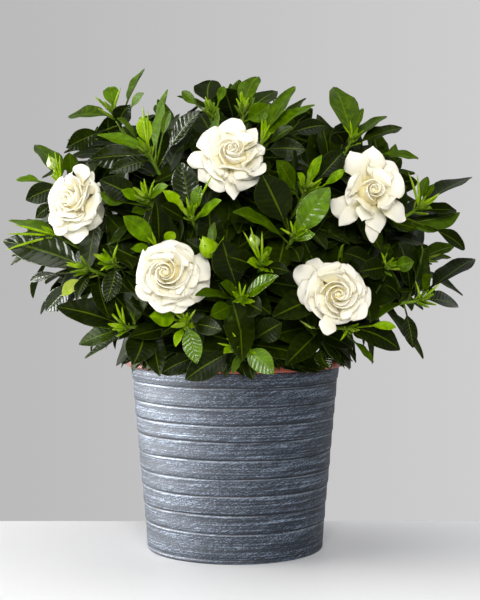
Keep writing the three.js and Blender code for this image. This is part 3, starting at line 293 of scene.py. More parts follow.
# Each shoot in view: apex in pixels, spikes as tip x, tip y, leaves as tip x, tip y, width in view (mm),
# tone, base x, base y, and a bud as centre x, centre y, radius (mm), finish
SHOOTS = [
    dict(name="shoot_crown_left", apex=(112, 112), spikes=[(121, 87), (94, 96), (104, 100)],
         leaves=[(68, 117, 12, "olive", 104, 122), (66, 148, 19, "glossy", 99, 135),
                 (110, 88, 15, "green", 112, 107), (145, 70, 6, "mid", 129, 102),
                 (143, 93, 7, "green", 132, 107), (131, 104, 18, "dark", 104, 130)]),
    dict(name="shoot_upper_left", apex=(148, 151), spikes=[(143, 105), (148, 110)],
         leaves=[(97, 135, 10, "green", 145, 150), (88, 159, 22, "glossy", 142, 152),
                 (109, 174, 14, "glossy", 147, 164), (142, 117, 14, "bright", 146, 148),
                 (167, 89, 9, "green", 155, 150), (171, 110, 8, "mid", 161, 130),
                 (201, 111, 13, "glossy", 160, 150), (117, 118, 6, "mid", 132, 130)]),
    dict(name="shoot_left_high", apex=(60, 182), bud=(52, 163, 5, BUD_FINISH),
         spikes=[(48, 153), (55, 150), (60, 154)],
         leaves=[(36, 147, 17, "mid", 60, 180), (26, 200, 19, "dark", 58, 189),
                 (17, 181, 7, "green", 35, 177), (69, 152, 14, "olive", 75, 178),
                 (36, 218, 11, "glossy", 46, 203)]),
    dict(name="shoot_far_left", apex=(55, 235), spikes=[(13, 224), (6, 234), (4, 251)],
         leaves=[(9, 222, 9, "green", 51, 232), (10, 264, 8, "deep", 48, 243),
                 (14, 243, 12, "dark", 50, 238)]),
    dict(name="shoot_left_low", apex=(84, 267), spikes=[(66, 262)],
         leaves=[(3, 242, 29, "glossy", 80, 267), (1, 294, 20, "deep", 38, 267),
                 (46, 311, 17, "glossy", 71, 280), (30, 281, 8, "glossy", 47, 271),
                 (77, 301, 9, "dark", 87, 268), (110, 318, 19, "dark", 87, 272),
                 (62, 296, 9, "pale", 80, 272)]),
    dict(name="shoot_centre_left", apex=(111, 262), spikes=[(95, 256), (100, 271), (104, 249), (118, 244)],
         leaves=[(106, 303, 17, "glossy", 120, 266), (133, 269, 7, "dark", 123, 246),
                 (141, 297, 12, "dark", 121, 281)]),
    dict(name="shoot_low_left", apex=(124, 327), spikes=[(106, 307), (115, 301), (122, 306)],
         leaves=[(56, 307, 23, "dark", 121, 326), (79, 345, 16, "deep", 124, 333),
                 (89, 326, 7, "young", 122, 330), (85, 359, 6, "deep", 126, 340),
                 (136, 322, 10, "mid", 124, 296), (133, 365, 28, "dark", 160, 322)]),
    dict(name="shoot_middle_left", apex=(156, 246), spikes=[(147, 237), (152, 231)],
         leaves=[(123, 216, 17, "green", 154, 243), (156, 199, 15, "dark", 162, 243),
                 (131, 249, 8, "green", 152, 246), (174, 232, 10, "bright", 162, 244)]),
    dict(name="shoot_inner_left", apex=(147, 198), spikes=[(144, 178), (155, 179), (159, 183), (141, 186)],
         leaves=[(169, 186, 8, "green", 150, 197), (121, 190, 10, "young", 141, 202),
                 (100, 180, 21, "dark", 138, 206), (100, 193, 12, "mid", 124, 213),
                 (132, 212, 8, "olive", 145, 216)]),
    dict(name="shoot_centre_high", apex=(191, 216), spikes=[(186, 196), (213, 174)],
         leaves=[(181, 162, 23, "glossy", 190, 207), (201, 186, 10, "shining", 193, 212),
                 (221, 200, 8, "young", 200, 222), (163, 191, 10, "bright", 188, 212),
                 (160, 205, 12, "dark", 184, 222)]),
    dict(name="shoot_top_centre", apex=(212, 113), spikes=[(205, 96)],
         leaves=[(211, 81, 25, "dark", 197, 110), (182, 91, 9, "mid", 196, 106),
                 (224, 87, 8, "green", 218, 100), (220, 128, 22, "green", 212, 104),
                 (212, 95, 9, "green", 196, 112), (175, 153, 10, "dark", 200, 134)]),
    dict(name="shoot_top_right", apex=(243, 110), spikes=[(236, 98), (249, 97), (240, 92)],
         leaves=[(257, 76, 17, "mid", 241, 107), (255, 97, 6, "mid", 246, 112),
                 (270, 104, 18, "green", 250, 124)]),
    dict(name="shoot_upper_right", apex=(262, 140), spikes=[(262, 118), (270, 124)],
         leaves=[(296, 88, 14, "mid", 262, 130), (315, 105, 10, "green", 264, 138),
                 (327, 126, 15, "dark", 287, 124), (306, 150, 18, "dark", 268, 146),
                 (293, 127, 9, "deep", 266, 142)]),
    dict(name="shoot_crown_right", apex=(353, 139), spikes=[(350, 120), (343, 125)],
         leaves=[(335, 86, 24, "mid", 352, 136), (363, 108, 8, "mid", 354, 135),
                 (387, 118, 9, "olive", 357, 138), (402, 130, 11, "deep", 363, 142),
                 (332, 132, 16, "dark", 352, 143), (418, 160, 7, "mid", 385, 146),
                 (399, 172, 15, "dark", 383, 152)]),
    dict(name="shoot_far_right", apex=(420, 207), spikes=[(408, 172), (417, 174), (440, 193)],
         leaves=[(428, 177, 9, "mid", 419, 200), (434, 185, 7, "mid", 423, 202),
                 (472, 180, 11, "dark", 426, 201), (456, 212, 11, "dark", 425, 208),
                 (460, 213, 19, "under", 402, 238), (465, 250, 12, "dark", 440, 230)]),
    dict(name="shoot_right_low", apex=(422, 300), spikes=[(440, 283), (415, 280)],
         leaves=[(431, 274, 9, "mid", 425, 292), (459, 306, 14, "glossy", 430, 300),
                 (474, 258, 17, "dark", 437, 291), (398, 242, 18, "dark", 417, 285),
                 (424, 245, 5, "mid", 424, 273), (413, 348, 13, "dark", 408, 314),
                 (384, 284, 11, "dark", 411, 298), (376, 319, 10, "mid", 410, 298)]),
    dict(name="shoot_low_right", apex=(350, 328), spikes=[(340, 341)],
         leaves=[(401, 350, 22, "dark", 355, 328), (396, 327, 8, "bright", 372, 324),
                 (364, 340, 6, "dark", 352, 330), (373, 363, 6, "mid", 350, 346),
                 (311, 330, 12, "pale", 284, 315), (334, 359, 9, "dark", 306, 338),
                 (331, 370, 14, "glossy", 302, 355)]),
    dict(name="shoot_centre_right", apex=(295, 236), spikes=[(280, 228), (290, 220)],
         leaves=[(330, 187, 24, "shining", 297, 232), (315, 234, 10, "shining", 297, 240),
                 (262, 174, 32, "dark", 283, 226), (266, 171, 14, "dark", 296, 205),
                 (233, 212, 9, "mid", 284, 242), (300, 262, 15, "dark", 296, 242)]),
    dict(name="shoot_inner_right", apex=(307, 189), spikes=[(323, 178), (312, 168)],
         leaves=[(322, 155, 9, "young", 308, 185), (297, 173, 6, "bright", 305, 186),
                 (343, 152, 20, "dark", 318, 181), (294, 150, 7, "dark", 286, 178),
                 (345, 170, 8, "young", 330, 190), (276, 160, 15, "mid", 298, 192)]),
    dict(name="shoot_centre", apex=(241, 299), spikes=[(239, 281), (246, 284)],
         leaves=[(222, 239, 29, "dark", 234, 285), (279, 276, 12, "shining", 243, 296),
                 (220, 283, 9, "mid", 239, 294), (195, 296, 7, "mid", 238, 303),
                 (262, 312, 20, "dark", 244, 303), (210, 316, 16, "olive", 236, 306)]),
    dict(name="shoot_centre_bud", apex=(262, 264), bud=(254, 241, 5, BUD_FINISH),
         spikes=[(243, 231), (250, 226), (262, 231)],
         leaves=[(273, 248, 7, "green", 264, 261), (247, 262, 8, "bright", 259, 266),
                 (290, 272, 11, "dark", 266, 268), (226, 256, 20, "dark", 256, 268)]),
    dict(name="shoot_round_bud", apex=(211, 253), bud=(208, 247, 8, LEAF_FINISH),
         spikes=[(199, 238), (213, 238)],
         leaves=[(216, 222, 8, "mid", 208, 252), (226, 230, 8, "young", 211, 254),
                 (186, 240, 12, "dark", 203, 258)]),
    dict(name="shoot_below_bloom", apex=(186, 323), spikes=[(171, 309), (180, 306), (196, 309)],
         leaves=[(197, 364, 17, "shining", 188, 328), (161, 336, 8, "dark", 176, 320),
                 (176, 347, 7, "bright", 181, 326), (222, 330, 16, "dark", 192, 322),
                 (150, 316, 16, "young", 180, 318)]),
    dict(name="shoot_front_low", apex=(244, 349), spikes=[(217, 343), (226, 338), (232, 332)],
         leaves=[(274, 374, 20, "shining", 248, 347), (233, 374, 7, "mid", 243, 354),
                 (224, 353, 6, "bright", 236, 350), (185, 380, 24, "dark", 231, 356),
                 (161, 374, 16, "dark", 190, 352), (201, 318, 17, "dark", 228, 340),
                 (283, 322, 22, "dark", 257, 343), (253, 380, 12, "dark", 246, 358)]),
    dict(name="shoot_right_middle", apex=(388, 266), spikes=[(381, 252)],
         leaves=[(358, 272, 19, "dark", 386, 268), (345, 253, 15, "dark", 372, 262),
                 (344, 246, 7, "young", 322, 262), (414, 262, 14, "mid", 392, 268),
                 (390, 243, 10, "deep", 388, 262)]),
]

# Shoots out of view: degrees round the crown from its right-hand side, and degrees up
BACK_SHOOTS = [
    ("shoot_side_right", 12, 34), ("shoot_side_right_low", 2, -4),
    ("shoot_side_left", 178, 44), ("shoot_side_left_low", 182, 2),
    ("shoot_back_right", 38, 6), ("shoot_back_right_high", 48, 44), ("shoot_back_right_mid", 68, 22),
    ("shoot_back_low", 88, -8), ("shoot_back_high", 96, 56), ("shoot_back_mid", 104, 20),
    ("shoot_back_left_high", 134, 40), ("shoot_back_left", 132, 4), ("shoot_back_left_mid", 160, 20),
    ("shoot_top_back_right", 40, 70), ("shoot_top_back_left", 155, 66), ("shoot_top_middle", 270, 84),
]

# Leaf pairs down a stem: distance below the apex, leaf length, lean from the stem in degrees
INNER_PAIRS = [(38, 62, 64)]
BACK_PAIRS = [(5, 46, 26), (20, 64, 50), (42, 70, 70)]

# Rings of broad petals round a heart: count, reach and rise as shares of the bloom's radius, width, and tone,
# which paints shade towards the foot
FULL_RINGS = [(5, 0.5, 0.3, 28, 0.1), (6, 0.66, 0.02, 31, 0.0)]
LOOSE_RINGS = [(4, 0.48, 0.32, 25, 0.1)]

# Each bloom: centre in pixels, way it faces as right, near and up, depth inside the crown, rings, how many
# rings of rolled petals and how wide they open, how much its outer petals may narrow, and petals as tip x,
# tip y, width and how far nearer than the centre
BLOOMS = [
    dict(name="bloom_left", centre=(76, 201), faces=(-0.55, 0.8, 0.15), inset=16, rings=FULL_RINGS, wraps=4,
         flare=0.2, taper=0.7,
         inner=[(66, 216, 18, 12), (88, 190, 20, 8), (52, 187, 22, 0)],
         petals=[(82, 164, 26, 2), (64, 179, 22, 8), (50, 204, 24, 2), (50, 224, 17, 4), (56, 235, 20, 2),
                 (75, 244, 28, -4), (94, 229, 26, -6), (103, 218, 26, -12), (101, 198, 26, -8),
                 (99, 182, 24, -12), (92, 171, 18, -6)]),
    dict(name="bloom_top", centre=(232, 157), faces=(0, 0.86, 0.5), inset=10, rings=FULL_RINGS, wraps=3,
         flare=-0.06, taper=0.9,
         inner=[(208, 143, 20, 8), (250, 176, 20, 12), (214, 172, 20, 10)],
         petals=[(232, 118, 27, -8), (203, 133, 27, -6), (187, 161, 18, 2), (198, 180, 23, 2),
                 (213, 190, 23, 4), (234, 200, 16, 6), (251, 187, 30, 6), (265, 172, 28, 0),
                 (265, 148, 24, -6), (256, 128, 24, -8)]),
    dict(name="bloom_centre", centre=(167, 273), faces=(-0.1, 0.97, 0.08), inset=8, rings=FULL_RINGS, wraps=4,
         flare=0.15, taper=0.5,
         inner=[(150, 288, 20, 10), (160, 254, 18, 9), (184, 296, 18, 8)],
         petals=[(174, 240, 32, -4), (152, 247, 26, -6), (140, 262, 28, -2), (139, 298, 20, 8),
                 (161, 313, 26, 0), (182, 313, 24, -4), (195, 303, 26, -4), (209, 292, 27, -8),
                 (210, 266, 28, -8), (189, 246, 22, -4), (199, 277, 24, 6)]),
    dict(name="bloom_right_low", centre=(336, 293), faces=(0.12, 0.96, -0.05), inset=8, rings=FULL_RINGS,
         wraps=3, flare=0.25, taper=0.6,
         inner=[(318, 308, 20, 8), (350, 280, 19, 9)],
         petals=[(346, 264, 26, -2), (324, 263, 26, -2), (306, 262, 24, -8), (294, 270, 24, -10),
                 (297, 293, 26, -6), (304, 304, 23, -2), (326, 335, 17, 10), (347, 323, 26, 0),
                 (366, 317, 23, -4), (371, 302, 24, -6), (364, 282, 24, -8)]),
    dict(name="bloom_right_high", centre=(370, 192), faces=(0.2, 0.93, 0.16), inset=8, rings=LOOSE_RINGS,
         wraps=2, flare=0.2, taper=1.0,
         inner=[(345, 196, 20, 4), (386, 172, 20, 10), (392, 204, 20, 8)],
         petals=[(373, 146, 28, -4), (350, 151, 27, -2), (349, 180, 18, 8), (404, 182, 27, 2),
                 (394, 162, 24, -6), (362, 221, 21, 8), (406, 220, 24, -6), (380, 233, 26, 0),
                 (373, 243, 16, -2), (332, 213, 22, -4), (339, 226, 18, -2)]),
]


# Plan of the plant
def chance(*keys):
    """A repeatable number from 0 to 1 for a set of whole numbers."""
    value = KEY_START
    for key in keys:
        value = (value ^ key) * KEY_FACTOR % WORD
        value ^= value >> 13
    value = value * END_FACTOR % WORD
    value ^= value >> 15
    return value / WORD


def sway(*keys):
    """A repeatable number from -1 to 1."""
    return chance(*keys) * 2 - 1


def at(px, py, depth):
    """The point that shows at a pixel of the picture, at a depth along Y."""
    scale = (depth - EYE.y) / FOCAL_PX
    return Vector(((px - CENTRE_PX) * scale, depth, EYE.z - (py - HORIZON_PX) * scale))


def picture_place(point):
    """Where a point shows in the picture, in pixels."""
    scale = FOCAL_PX / (point.y - EYE.y)
    return Vector((CENTRE_PX + point.x * scale, HORIZON_PX - (point.z - EYE.z) * scale, 0))


def crown_depth(px, py):
    """The depth along Y of the crown's near surface at a pixel."""
    depth = -CROWN_HALF_DEPTH * 0.7
    for _ in range(4):
        point = at(px, py, depth)
        across = point.x / CROWN_HALF_WIDTH
        above = (point.z - CROWN_CENTRE.z) / CROWN_HALF_HEIGHT
        depth = -CROWN_HALF_DEPTH * math.sqrt(max(0, 1 - across * across - above * above))
    return depth


def bend(start, middle, end, t):
    """A point on the curve that a middle point pulls aside."""
    return start * ((1 - t) * (1 - t)) + middle * (2 * (1 - t) * t) + end * (t * t)


def bend_way(start, middle, end, t):
    """The way in which that curve runs."""
    return ((middle - start) * (1 - t) + (end - middle) * t).normalized()


def square_to(direction, wanted):
    """The way nearest to a wanted one that is square to a direction."""
    return (wanted - direction * wanted.dot(direction)).normalized()


def out_from(way, turn, aside=UP):
    """The way out from a line at a turn round it, counted from its side towards aside."""
    across = square_to(way, aside)
    return across * math.cos(turn) + way.cross(across) * math.sin(turn)


# Half width of a blade's solid along its length, as a share of the greatest, and where its corners are
OUTLINES = {
    "leaf": lambda s: (s ** 0.7) * ((1 - s) ** 0.75) / 0.3725,
    "petal": lambda s: s * math.sqrt(1 - s ** 4) / 0.62,
}
STATIONS = {"leaf": (0.28, 0.58, 0.85), "short": (0.34, 0.74), "petal": (0.36, 0.68, 0.9)}


class Blade:
    """One leaf's or petal's curve, width and turn."""

    def __init__(self, root, middle, tip, face, width, fold, petiole, outline, stations, key, tone):
        self.root, self.middle, self.tip = root, middle, tip
        self.width, self.fold, self.petiole = width, fold, petiole
        self.outline, self.stations = outline, stations
        self.key, self.tone = key, tone
        self.finish = LEAF_FINISH
        self.rolls_back = False
        self.taper = PETAL_TAPER
        along = (tip - root).normalized()
        self.across = along.cross(square_to(along, face))

    def centre(self, t):
        """A point on the midrib."""
        return bend(self.root, self.middle, self.tip, t)

    def normal(self, t):
        """The way that the upper face looks at a point on the midrib."""
        return self.across.cross(bend_way(self.root, self.middle, self.tip, t)).normalized()

    def marks(self):
        """The corners that the blade's solid has."""
        corners = [self.tip]
        thickness = PETAL_THICKNESS if self.outline == "petal" else BLADE_THICKNESS
        for station in STATIONS[self.stations]:
            t = self.petiole + (1 - self.petiole) * station
            half = OUTLINES[self.outline](station) * self.width / 2
            lift = self.normal(t) * (half * self.fold * 0.5 + thickness / 2)
            corners.append(self.centre(t) - self.across * half + lift)
            corners.append(self.centre(t) + self.across * half + lift)
        return corners

    def length(self):
        """Distance from root to tip."""
        return (self.tip - self.root).length


def plain_leaf(root, middle, tip, face, width, key, tone):
    """A leaf with a short stalk that no row describes."""
    return Blade(root, middle, tip, face, width, LEAF_FOLD, LEAF_STALK, "leaf", "short", key, tone)


class Shoot:
    """A stem from its apex inwards, and the points on it."""

    def __init__(self, name, index, tip, leaves=(), spikes=(), bud=None, pairs=(), end_way=None):
        self.name, self.index, self.tip = name, index, tip
        self.leaves, self.spikes, self.bud, self.pairs = leaves, spikes, bud, pairs
        self.way = (tip - CROWN_HEART).normalized()
        self.end_way = end_way or self.way
        self.length = min(STEM_LENGTH, (tip - CROWN_HEART).length - HEART_ROOM)
        self.foot = tip - self.way * self.length
        self.middle = tip - self.end_way * (0.5 * self.length)
        self.foot_way = (self.middle - self.foot).normalized()
        self.aside = Vector((1, 0, 0)) if abs(self.way.z) > 0.9 else UP
        self.twist = chance(index, 3) * math.pi

    def point_below(self, below):
        """The point on the stem at a distance below its apex."""
        return self.tip - self.way * min(below, self.length - 4)

    def root_toward(self, point, least):
        """Where a leaf that goes to a point leaves the stem, at least so far below the apex."""
        below = -(point - self.tip).dot(self.way)
        axis = self.point_below(max(least, below))
        return axis + square_to(self.way, point - axis) * (STEM_TIP_RADIUS * 0.15)


class Bloom:
    """A bloom's place, the way it faces and its row in the plan."""

    def __init__(self, index, row):
        px, py = row["centre"]
        right, near, up = row["faces"]
        self.index, self.name, self.row = index, row["name"], row
        self.way = Vector((right, -near, up)).normalized()
        self.heart = at(px, py, crown_depth(px, py) + row["inset"])


def seen_leaf(shoot, number, attempt):
    """A leaf from its row in the plan, as one of the attempts from which its node was made."""
    tip_x, tip_y, seen_width, tone, base_x, base_y = shoot.leaves[number]
    key = shoot.index * BLADE_KEYS + number
    reach = 0 if attempt == 0 else 6 + attempt * 1.6
    away = (at(base_x, base_y, shoot.tip.y) - shoot.tip).length
    base_depth = shoot.tip.y + 0.4 * away + reach * 0.4 * sway(key, attempt, 1)
    base = at(base_x, base_y, base_depth)
    flat_length = (at(tip_x, tip_y, base_depth) - base).length
    spare = math.sqrt(max(36, LONGEST_LEAF * LONGEST_LEAF * 0.8 - flat_length * flat_length))
    limit = min(spare, 0.9 * flat_length + 10)
    to_crown = crown_depth(tip_x, tip_y) - base_depth
    tip_depth = base_depth + min(max(to_crown, -limit), limit) + reach * sway(key, attempt, 2)
    tip = at(tip_x, tip_y, tip_depth)
    root = shoot.root_toward(base, 1.5 + number * ROOT_SPACING)
    length = (tip - base).length
    width = max(seen_width, min(length * LEAF_SLENDERNESS, WIDEST_LEAF))
    along = (tip - root).normalized()
    front = square_to(along, EYE - base)
    across = along.cross(front)
    roll = math.acos(min(1, seen_width / width))
    if across.z > 0:
        roll = -roll
    roll += 0.35 * sway(key, attempt, 3) * min(1, attempt / 6)
    face = front * math.cos(roll) - across * math.sin(roll)
    if tone == "under":
        face = -face
    arch = 0.08 + 0.08 * sway(key, attempt, 4)
    middle = base.lerp(tip, 0.45) + UP * (arch * length)
    stalk = (root - base).length
    petiole = min(0.4, max(0.05, stalk / (stalk + length)))
    stations = "short" if length < SHORT_LEAF else "leaf"
    form = Blade(root, middle, tip, face, width, SEEN_LEAF_FOLD, petiole, "leaf", stations, key, TONES[tone])
    if tone in SHINY:
        form.finish = SHINY_FINISH
    return form


def pair_leaf(shoot, pair, number, attempt):
    """One leaf of a pair on a stem, as one of the attempts from which its node was made."""
    below, full_length, lean = shoot.pairs[pair]
    key = shoot.index * BLADE_KEYS + PAIR_KEYS + pair * 4 + number
    wild = min(1, attempt / 8)
    turn = (number + pair / 2) * math.pi + shoot.twist + 0.8 * wild * sway(key, attempt, 1)
    turn += 0.25 * sway(key, 7)
    tilt = math.radians(lean + 8 * sway(key, 8) + 22 * wild * sway(key, attempt, 2))
    length = full_length * (0.92 + 0.1 * sway(key, 9)) * (1 - 0.22 * wild * chance(key, attempt, 5))
    roll = 0.35 * sway(key, 10) + 0.4 * wild * sway(key, attempt, 3)
    tone = max(0, 0.34 - 0.008 * below + 0.12 * sway(key, 11))
    return stem_leaf(shoot, below + number * ROOT_SPACING, turn, tilt, length, roll, tone, key)


def stem_leaf(shoot, below, turn, tilt, length, roll, tone, key):
    """A leaf that leans out from a shoot's stem."""
    outward = out_from(shoot.way, turn, shoot.aside)
    root = shoot.point_below(below) + outward * (STEM_TIP_RADIUS * 0.15)
    way = shoot.way * math.cos(tilt) + outward * math.sin(tilt)
    tip = root + way * length - UP * (0.1 * length)
    up = square_to(way, shoot.way + UP * 0.8)
    face = up * math.cos(roll) - way.cross(up) * math.sin(roll)
    middle = root.lerp(tip, 0.5) + face * (0.1 * length)
    return plain_leaf(root, middle, tip, face, length * LEAF_SLENDERNESS, key, tone)


def seen_petal(bloom, petals, number, attempt):
    """A petal from its row in the plan, as one of the attempts from which its node was made."""
    tip_x, tip_y, width, nearer = petals[number]
    index, heart, facing = bloom.index, bloom.heart, bloom.way
    reach = min(1, attempt / 10)
    tip = at(tip_x, tip_y, heart.y - nearer + 10 * reach * sway(index, number, attempt, 1))
    outward = square_to(facing, tip - heart)
    forward = (2 if nearer > 5 else -5) + 3 * reach * sway(index, number, attempt, 4)
    root = heart + outward * (BUD_RADIUS * 0.7) + facing * forward
    along = (tip - root).normalized()
    up = square_to(along, facing)
    roll = 0.3 + 0.25 * reach * sway(index, number, attempt, 2)
    face = up * math.cos(roll) - along.cross(up) * math.sin(roll)
    cup = (0.02 if nearer > 5 else 0.14) + 0.12 * reach * sway(index, number, attempt, 3)
    middle = root.lerp(tip, 0.5) + facing * (cup * (tip - root).length)
    key = index * BLADE_KEYS + number
    return Blade(root, middle, tip, face, width, PETAL_FOLD, PETAL_FOOT, "petal", "petal", key, 0.0)


def mesh_tree(node):
    """The corners of a node's mesh, to be searched by place."""
    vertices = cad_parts[node].data.vertices
    tree = KDTree(len(vertices))
    for number, vertex in enumerate(vertices):
        tree.insert(vertex.co, number)
    tree.balance()
    return tree


TREES = {name: mesh_tree(name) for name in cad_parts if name.startswith(("shoot_", "bloom_"))}


def matched(node, make_form):
    """The attempt whose corners stand in a node's mesh, or None where the node has no such blade."""
    best, best_share = None, MATCH_SHARE
    for attempt in range(TRIES):
        form = make_form(attempt)
        marks = form.marks()
        found = sum(1 for mark in marks if TREES[node].find(mark * MM)[2] < MATCH_MM * MM)
        share = found / len(marks)
        if share > best_share:
            best, best_share = form, share
        if share == 1:
            break
    return best


# Meshes
def new_object(name, data):
    """An object in the scene."""
    made = bpy.data.objects.new(name, data)
    bpy.context.scene.collection.objects.link(made)
    return made


class Skin:
    """Points and faces of one piece, with each face's finish and each point's tone and place on its blade."""

    def __init__(self):
        self.points, self.places, self.tones = [], [], []
        self.faces, self.finishes = [], []

    def add_rings(self, rings, places=None, tip=None, finishes=None, tone=0.0, ring_tones=None):
        """A closed body through rings of points, pointed at its far end where a tip is given."""
        count = len(rings[0])
        first = len(self.points)
        finishes = finishes or [0] * count
        for number, ring in enumerate(rings):
            self.points.extend(ring)
            self.places.extend(places[number] if places else [(0.5, 0.5)] * count)
        last = first + (len(rings) - 1) * count
        self.faces.append(tuple(range(first + count - 1, first - 1, -1)))
        self.finishes.append(finishes[-1])
        for base in range(first, last, count):
            for side in range(count):
                after = (side + 1) % count
                self.faces.append((base + side, base + after, base + count + after, base + count + side))
                self.finishes.append(finishes[side])
        if tip is None:
            self.faces.append(tuple(range(last, last + count)))
            self.finishes.append(finishes[-1])
        else:
            self.points.append(tip)
            self.places.append((0.5, 1.0))
            for side in range(count):
                self.faces.append((last + side, last + (side + 1) % count, len(self.points) - 1))
                self.finishes.append(finishes[side])
        if ring_tones:
            self.tones.extend(ring_tone for ring_tone in ring_tones for _ in range(count))
        else:
            self.tones.extend([tone] * (len(self.points) - first))

    def add_tube(self, line, sides, tip=None, finish=0, tone=0.0):
        """A round stem along a line of centres and radii."""
        rings = []
        whole = (line[-1][0] - line[0][0]).normalized()
        aside = SLANTING if abs(whole.z) > 0.8 else UP
        for number, (centre, radius) in enumerate(line):
            before = line[max(0, number - 1)][0]
            after = line[min(len(line) - 1, number + 1)][0]
            way = (after - before).normalized()
            across = square_to(way, aside)
            other = way.cross(across)
            turns = [math.tau * side / sides for side in range(sides)]
            rings.append([centre + across * (radius * math.cos(turn)) + other * (radius * math.sin(turn))
                          for turn in turns])
        self.add_rings(rings, tip=tip, finishes=[finish] * sides, tone=tone)

    def make(self, name, *looks):
        """The piece as an object, with its looks in the order of its finishes."""
        mesh = bpy.data.meshes.new(name)
        mesh.from_pydata([point * MM for point in self.points], [], self.faces)
        for look in looks:
            mesh.materials.append(LOOKS[look])
        mesh.polygons.foreach_set("material_index", self.finishes)
        mesh.attributes.new("tone", "FLOAT", "POINT").data.foreach_set("value", self.tones)
        layer = mesh.uv_layers.new(name="blade")
        for loop, corner in zip(mesh.loops, layer.data):
            corner.uv = self.places[loop.vertex_index]
        mesh.update()
        mesh.shade_smooth()
        return new_object(name, mesh)


def hand_over(piece, slot, *nodes):
    """Puts a piece in its nodes' place, in the one body."""
    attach(piece, "root")
    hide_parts(*nodes)


def add_blade(skin, form, rows, columns, height, thickness):
    """A thin closed leaf or petal: height lifts its surface, by s along, v across and its half width."""
    rings, places = [], []
    stalk_rows = [0.0, form.petiole * 0.55] if form.petiole > 0.1 else [0.0]
    for t in stalk_rows:
        rings.append(blade_ring(form, t, 0.0, PETIOLE_HALF, 0, PETIOLE_HALF, columns, height))
        places.append([(0.5, 0.0)] * len(rings[-1]))
    for s in rows:
        t = form.petiole + (1 - form.petiole) * s
        half = max(PETIOLE_HALF, fine_half(form, s))
        rings.append(blade_ring(form, t, s, half, 1, thickness / 2, columns, height))
        over = [(0.5 + v / 2, s) for v in columns]
        places.append(over + over[-2:0:-1])
    sides = len(columns) - 1
    tip = form.tip + form.normal(1.0) * height(1.0, 0.0, 0.0)
    skin.add_rings(rings, places, tip, [form.finish] * sides + [UNDER_FINISH] * sides, form.tone)


def fine_half(form, s):
    """Half width along a blade: a leaf has a drawn-out tip and a narrow foot, a petal an uneven edge."""
    half = OUTLINES[form.outline](s) * form.width / 2
    if form.outline == "leaf":
        half *= 1 - TIP_TAPER * max(0, (s - 0.62) / 0.38) ** 2
        half *= min(1, s / 0.25) ** 0.3
    else:
        half *= 1 - form.taper * chance(form.key, 35) * max(0, (s - 0.55) / 0.45) ** 1.5
        half *= 1 + PETAL_EDGE_WAVE * math.sin(math.tau * (2.6 * s + chance(form.key, 36)))
    return half


def blade_ring(form, t, s, half, spread, thickness, columns, height):
    """The points across a blade at one station, over its upper face and back under it."""
    centre, normal = form.centre(t), form.normal(t)
    over, under = [], []
    for v in columns:
        middle = centre + form.across * (half * v) + normal * (spread * height(s, v, half))
        swell = thickness * math.sqrt(max(0, 1 - v * v))
        over.append(middle + normal * swell)
        under.append(middle - normal * swell)
    return over + under[-2:0:-1]


def add_leaf(skin, form, fine):
    """A leaf folded along its midrib, with a wavy margin and a drooping tip."""
    waves = 1.1 + 1.4 * chance(form.key, 21)
    phases = (chance(form.key, 22), chance(form.key, 23))
    droop = 0.03 * form.length() * sway(form.key, 24)

    def height(s, v, half):
        """How far the leaf's surface stands off its midrib's curve."""
        lift = half * form.fold * 0.9 + BLADE_THICKNESS / 2
        wave = 0.1 * half * math.sin(math.tau * (waves * s + phases[v > 0])) * v * v
        return lift * abs(v) ** 1.3 + wave * min(1, 2 * s) - droop * s * s * s

    rows, columns = (LEAF_ROWS, LEAF_COLUMNS) if fine else (PLAIN_LEAF_ROWS, PLAIN_LEAF_COLUMNS)
    add_blade(skin, form, rows, columns, height, LEAF_THICKNESS)


def add_petal(skin, form):
    """A cupped petal with a wavy edge, which may roll back."""
    waves = 1.0 + chance(form.key, 31)
    phases = (chance(form.key, 32), chance(form.key, 33))
    rolled = 0.9 + 1.1 * chance(form.key, 34)

    def height(s, v, half):
        """How far the petal's surface stands off its middle curve."""
        cup = half * form.fold * 0.6 * v * v
        wave = 0.22 * half * math.sin(math.tau * (waves * s + phases[v > 0])) * abs(v) ** 3
        roll = rolled * (v ** 4 * 0.8 + max(0, s - 0.7) ** 2 * 14) * min(1, half / 6)
        return cup + wave - roll * (1 if form.rolls_back else 0.2)

    add_blade(skin, form, PETAL_ROWS, PETAL_COLUMNS, height, PETAL_FINE_THICKNESS)


def curve_line(start, middle, end, radius_start, radius_end, steps):
    """Centres and radii along a bent stem that narrows evenly."""
    shares = [step / steps for step in range(steps + 1)]
    return [(bend(start, middle, end, t), radius_start + (radius_end - radius_start) * t) for t in shares]


def add_spike(skin, shoot, px, py):
    """A narrow young leaf or sepal that stands up from the shoot's tip."""
    flat = at(px, py, shoot.tip.y)
    tip = at(px, py, shoot.tip.y - 0.35 * (flat - shoot.tip).length)
    root = shoot.point_below(2)
    middle = root.lerp(tip, 0.5) + shoot.way * (0.08 * (tip - root).length)
    line = [(bend(root, middle, tip, t), SPIKE_WIDTH / 2 * width) for t, width in SPIKE_FORM]
    skin.add_tube(line, 6, tip=tip, tone=SPIKE_TONE)


def add_bud(skin, centre, way, radius, length, finish, tone):
    """An egg-shaped bud with the twisted ridges of its rolled petals."""
    rings = []
    for step in range(BUD_STEPS):
        share = (step + 0.5) / BUD_STEPS
        size = radius * math.sin(math.pi * share ** 0.8) ** 0.8
        middle = centre + way * (length * (share - 0.5))
        ring = []
        for side in range(BUD_SIDES):
            turn = math.tau * side / BUD_SIDES
            ridge = 1 + BUD_RIDGE * math.sin(5 * turn + 5 * share)
            ring.append(middle + out_from(way, turn, SLANTING) * (size * ridge))
        rings.append(ring)
    skin.add_rings(rings, tip=centre + way * (length * 0.56), finishes=[finish] * BUD_SIDES, tone=tone)


